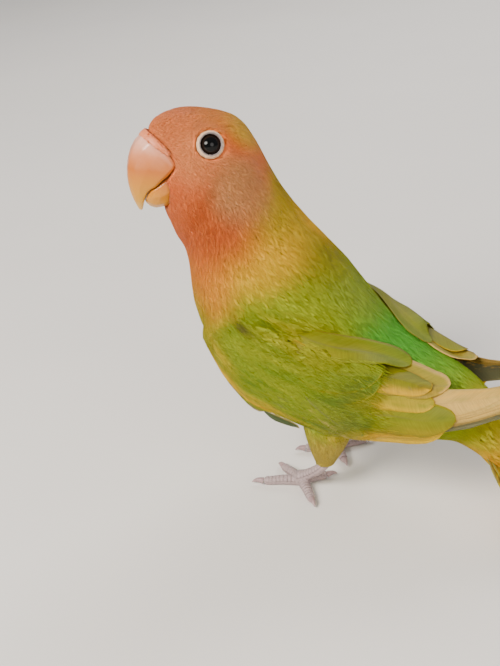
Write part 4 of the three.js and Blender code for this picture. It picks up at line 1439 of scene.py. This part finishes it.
for side, word in ((1, "left"), (-1, "right")):
    bpy.ops.object.select_all(action="DESELECT")
    axis = Vector(unit(eye_spot(side, 1) - eye_spot(side)))
    bpy.ops.mesh.primitive_uv_sphere_add(segments=48, ring_count=32, radius=EYE_RADIUS)
    eye = bpy.context.object
    eye.name = f"eyeball_{word}"
    middle = Vector(in_metres(eye_spot(side, EYE_MIDDLE)))
    turn = axis.to_track_quat("Z", "Y").to_matrix()
    for vertex in eye.data.vertices:
        x, y, z = vertex.co * 1000
        dome = max(0.0, 1 - (x * x + y * y) / CORNEA_REACH) if z > 0 else 0.0
        vertex.co = middle + turn @ (Vector((x, y, z + CORNEA_RISE * dome)) / 1000)
    bpy.ops.object.shade_smooth()
    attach(eye, "root")
    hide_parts(f"eye_{word}")
    eye_finish, shader, place = finish(f"eye_{word}", IOR=1.36, Specular_IOR_Level=0.35)
    out = unit(eye_spot(side, 1) - eye_spot(side))
    lift = measured(place, out, eye_spot(side, EYE_MIDDLE))
    iris = place.cloud(2200, 3.0)
    brown = iris.blend(tint(20, 13, 10), tint(36, 24, 17))
    wire(shader, "Base Color", lift.ease(2.62, 2.72).blend(brown, tint(4, 4, 4)))
    wire(shader, "Roughness", iris * 0.05 + 0.05)
    eye.data.materials.append(eye_finish)

# Lids: a bare ring of thick whitish skin round each eye, grey along its inner edge and beaded with
# small folds. It lies in the face and closes round the ball.
LIDS_GRID = 0.00016

for side, word in ((1, "left"), (-1, "right")):
    ring = smoothed(f"lids_{word}", (f"eye_ring_{word}",), LIDS_GRID, 6)
    out = unit(eye_spot(side, 1) - eye_spot(side))
    points = mesh_points(ring)
    normals = mesh_normals(ring)
    off = points - eye_spot(side)
    flat = off - (off @ out)[:, None] * out
    first = unit(np.cross(out, (0, 0, 1.0)))
    turn = np.arctan2(flat @ first, flat @ np.cross(out, first))
    reach = np.linalg.norm(flat, axis=1)
    fold = 0.03 * np.sin(turn * 31 + 5 * np.sin(turn * 4)) * ease(2.8, 3.1, reach)
    fold += 0.03 * np.sin(turn * 47 + 9 * reach + 4 * np.sin(turn * 5))
    moved(ring, points + normals * fold[:, None])
    lid_finish, shader, place = finish(f"lids_{word}", Roughness=0.55)
    middle = tuple(in_metres(eye_spot(side)))
    off = place.out("ShaderNodeVectorMath", {"operation": "SUBTRACT"}, _0=place, _1=middle)
    along = off.dot(out)
    whole = off.out("ShaderNodeVectorMath", {"operation": "LENGTH"}, output=1, _0=off)
    radius = (whole * whole - along * along).root() * 1000
    grain = place.cloud(2600, 3.0)
    outer = (radius + (grain - 0.5) * 0.4).ease(2.9, 3.3)
    tone = outer.blend(tint(96, 95, 102), tint(212, 178, 142))
    wire(shader, "Base Color", (grain * 0.35).blend(tone, tint(190, 152, 118)))
    wire(shader, "Normal", bump(grain, 0.3, 0.00015))
    ring.data.materials.append(lid_finish)

# Feet: two toes forward and two back, grey pebbled skin over bone. Horny scutes lie over the top of
# each toe and down the shank, each a thin plate overlapping the next.
FOOT = {1: (-0.4, -9.6), -1: (0.6, 10.2)}
TOES = [(5.2, 5.4, 7.2), (-9.3, 5.0, 8.8), (-10.6, -4.4, 10.6), (6.2, -6.4, 9.4)]
SHANK = [(8.2, 1.2, 8.9), (5.6, 0.9, 6.4), (2.2, 0.3, 3.8), (0, 0, 2.5)]
feet_finish, shader, place = finish("foot_skin", Roughness=0.6)
pebble = place.out("ShaderNodeTexVoronoi", Vector=place, Scale=1500)
shade = place.cloud(120, 2.0)
tone = shade.blend(tint(150, 134, 134), tint(176, 152, 150))
wire(shader, "Base Color", pebble.ease(0.0, 0.5).blend(tint(128, 114, 114), tone))
wire(shader, "Normal", bump(pebble, 0.4, 0.0002))


def scute_rows(path, radii, up, pitch):
    """Bent overlapping plates over the top of a toe or shank, as closed shells."""
    stops = np.linspace(0, len(path) - 1, 200)
    line = between(path, stops)
    size = np.interp(stops, range(len(radii)), radii)
    run = np.concatenate(((0,), np.cumsum(np.linalg.norm(np.diff(line, axis=0), axis=1))))
    ahead = unit(np.gradient(line, axis=0))
    points, faces = [], []
    wide, n = 9, 27
    spread = np.radians(np.linspace(-78, 78, wide))
    for centre in np.arange(0.5 * pitch, run[-1] - 0.3 * pitch, pitch):
        at = [np.searchsorted(run, centre + k * pitch).clip(0, 199) for k in (-0.45, 0.1, 0.58)]
        shell = []
        for lifts in (0.02, 0.14, 0.10), (-0.12, -0.12, -0.12):
            for i, lift in zip(at, lifts):
                top = unit(np.asarray(up) - ahead[i] * np.dot(up, ahead[i]))
                beside = np.cross(ahead[i], top)
                arc = np.cos(spread)[:, None] * top + np.sin(spread)[:, None] * beside
                shell.append(line[i] + (size[i] + lift) * arc)
        start = len(points) * 2 * n
        points.append(np.concatenate(shell))
        for i in range(2):
            for j in range(wide - 1):
                a = start + i * wide + j
                faces.append((a, a + wide, a + wide + 1, a + 1))
                faces.append((n + a, n + a + 1, n + a + wide + 1, n + a + wide))
        rim = list(range(9)) + [17, 26] + list(range(25, 17, -1)) + [9]
        for p, q in zip(rim, rim[1:] + rim[:1]):
            faces.append((start + p, start + q, start + n + q, start + n + p))
    return np.concatenate(points), faces


for side, word in ((1, "left"), (-1, "right")):
    foot = smoothed(f"foot_skin_{word}", (f"foot_{word}",), 0.0003, 3)
    foot.data.materials.append(feet_finish)
    x, y = FOOT[side]
    paths = []
    for dx, dy, length in TOES:
        ahead = unit(np.array((dx, side * dy, 0)))
        s = np.linspace(0.15, 1, 5)[:, None]
        rise = 0.9 * np.sin(math.pi * np.minimum(1, s * 1.1)) ** 2
        toe = np.array((x, y, 1.1)) + ahead * length * s + rise * (0, 0, 0.35)
        paths.append((toe, 1.55 - 0.4 * s[:, 0], (0, 0, 1), 1.05))
    out = 1 if y > 0 else -1
    shank = np.array([(x + a, y + out * b, c) for a, b, c in SHANK])
    paths.append((shank, np.array((1.5, 1.45, 1.6, 1.9)), (-0.6, 0, 0.8), 1.3))
    points, faces, count = [], [], 0
    for path, radii, up, pitch in paths:
        more, sides = scute_rows(path, radii, up, pitch)
        points.append(more)
        faces += [tuple(k + count for k in face) for face in sides]
        count += len(more)
    plates = turned_outward(made_mesh(f"scutes_{word}", np.concatenate(points), faces))
    plates.data.materials.append(feet_finish)
    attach(plates, "root")

# Claws: curved and pointed sheaths of pinkish grey horn over the last bone of each toe, growing out
# of the toe tips.
CLAWS = [f"claw_{word}_{k}" for word in ("left", "right") for k in (1, 2, 3, 4)]
claws = smoothed("claws", CLAWS, 0.00012, 4)
claw_finish, shader, place = finish("claw_horn", IOR=1.5)
grain = place.cloud(900, 3.0)
wire(shader, "Base Color", grain.blend(tint(128, 104, 108), tint(176, 148, 146)))
wire(shader, "Roughness", grain * 0.2 + 0.3)
wire(shader, "Normal", bump(grain, 0.2, 0.0001))
claws.data.materials.append(claw_finish)
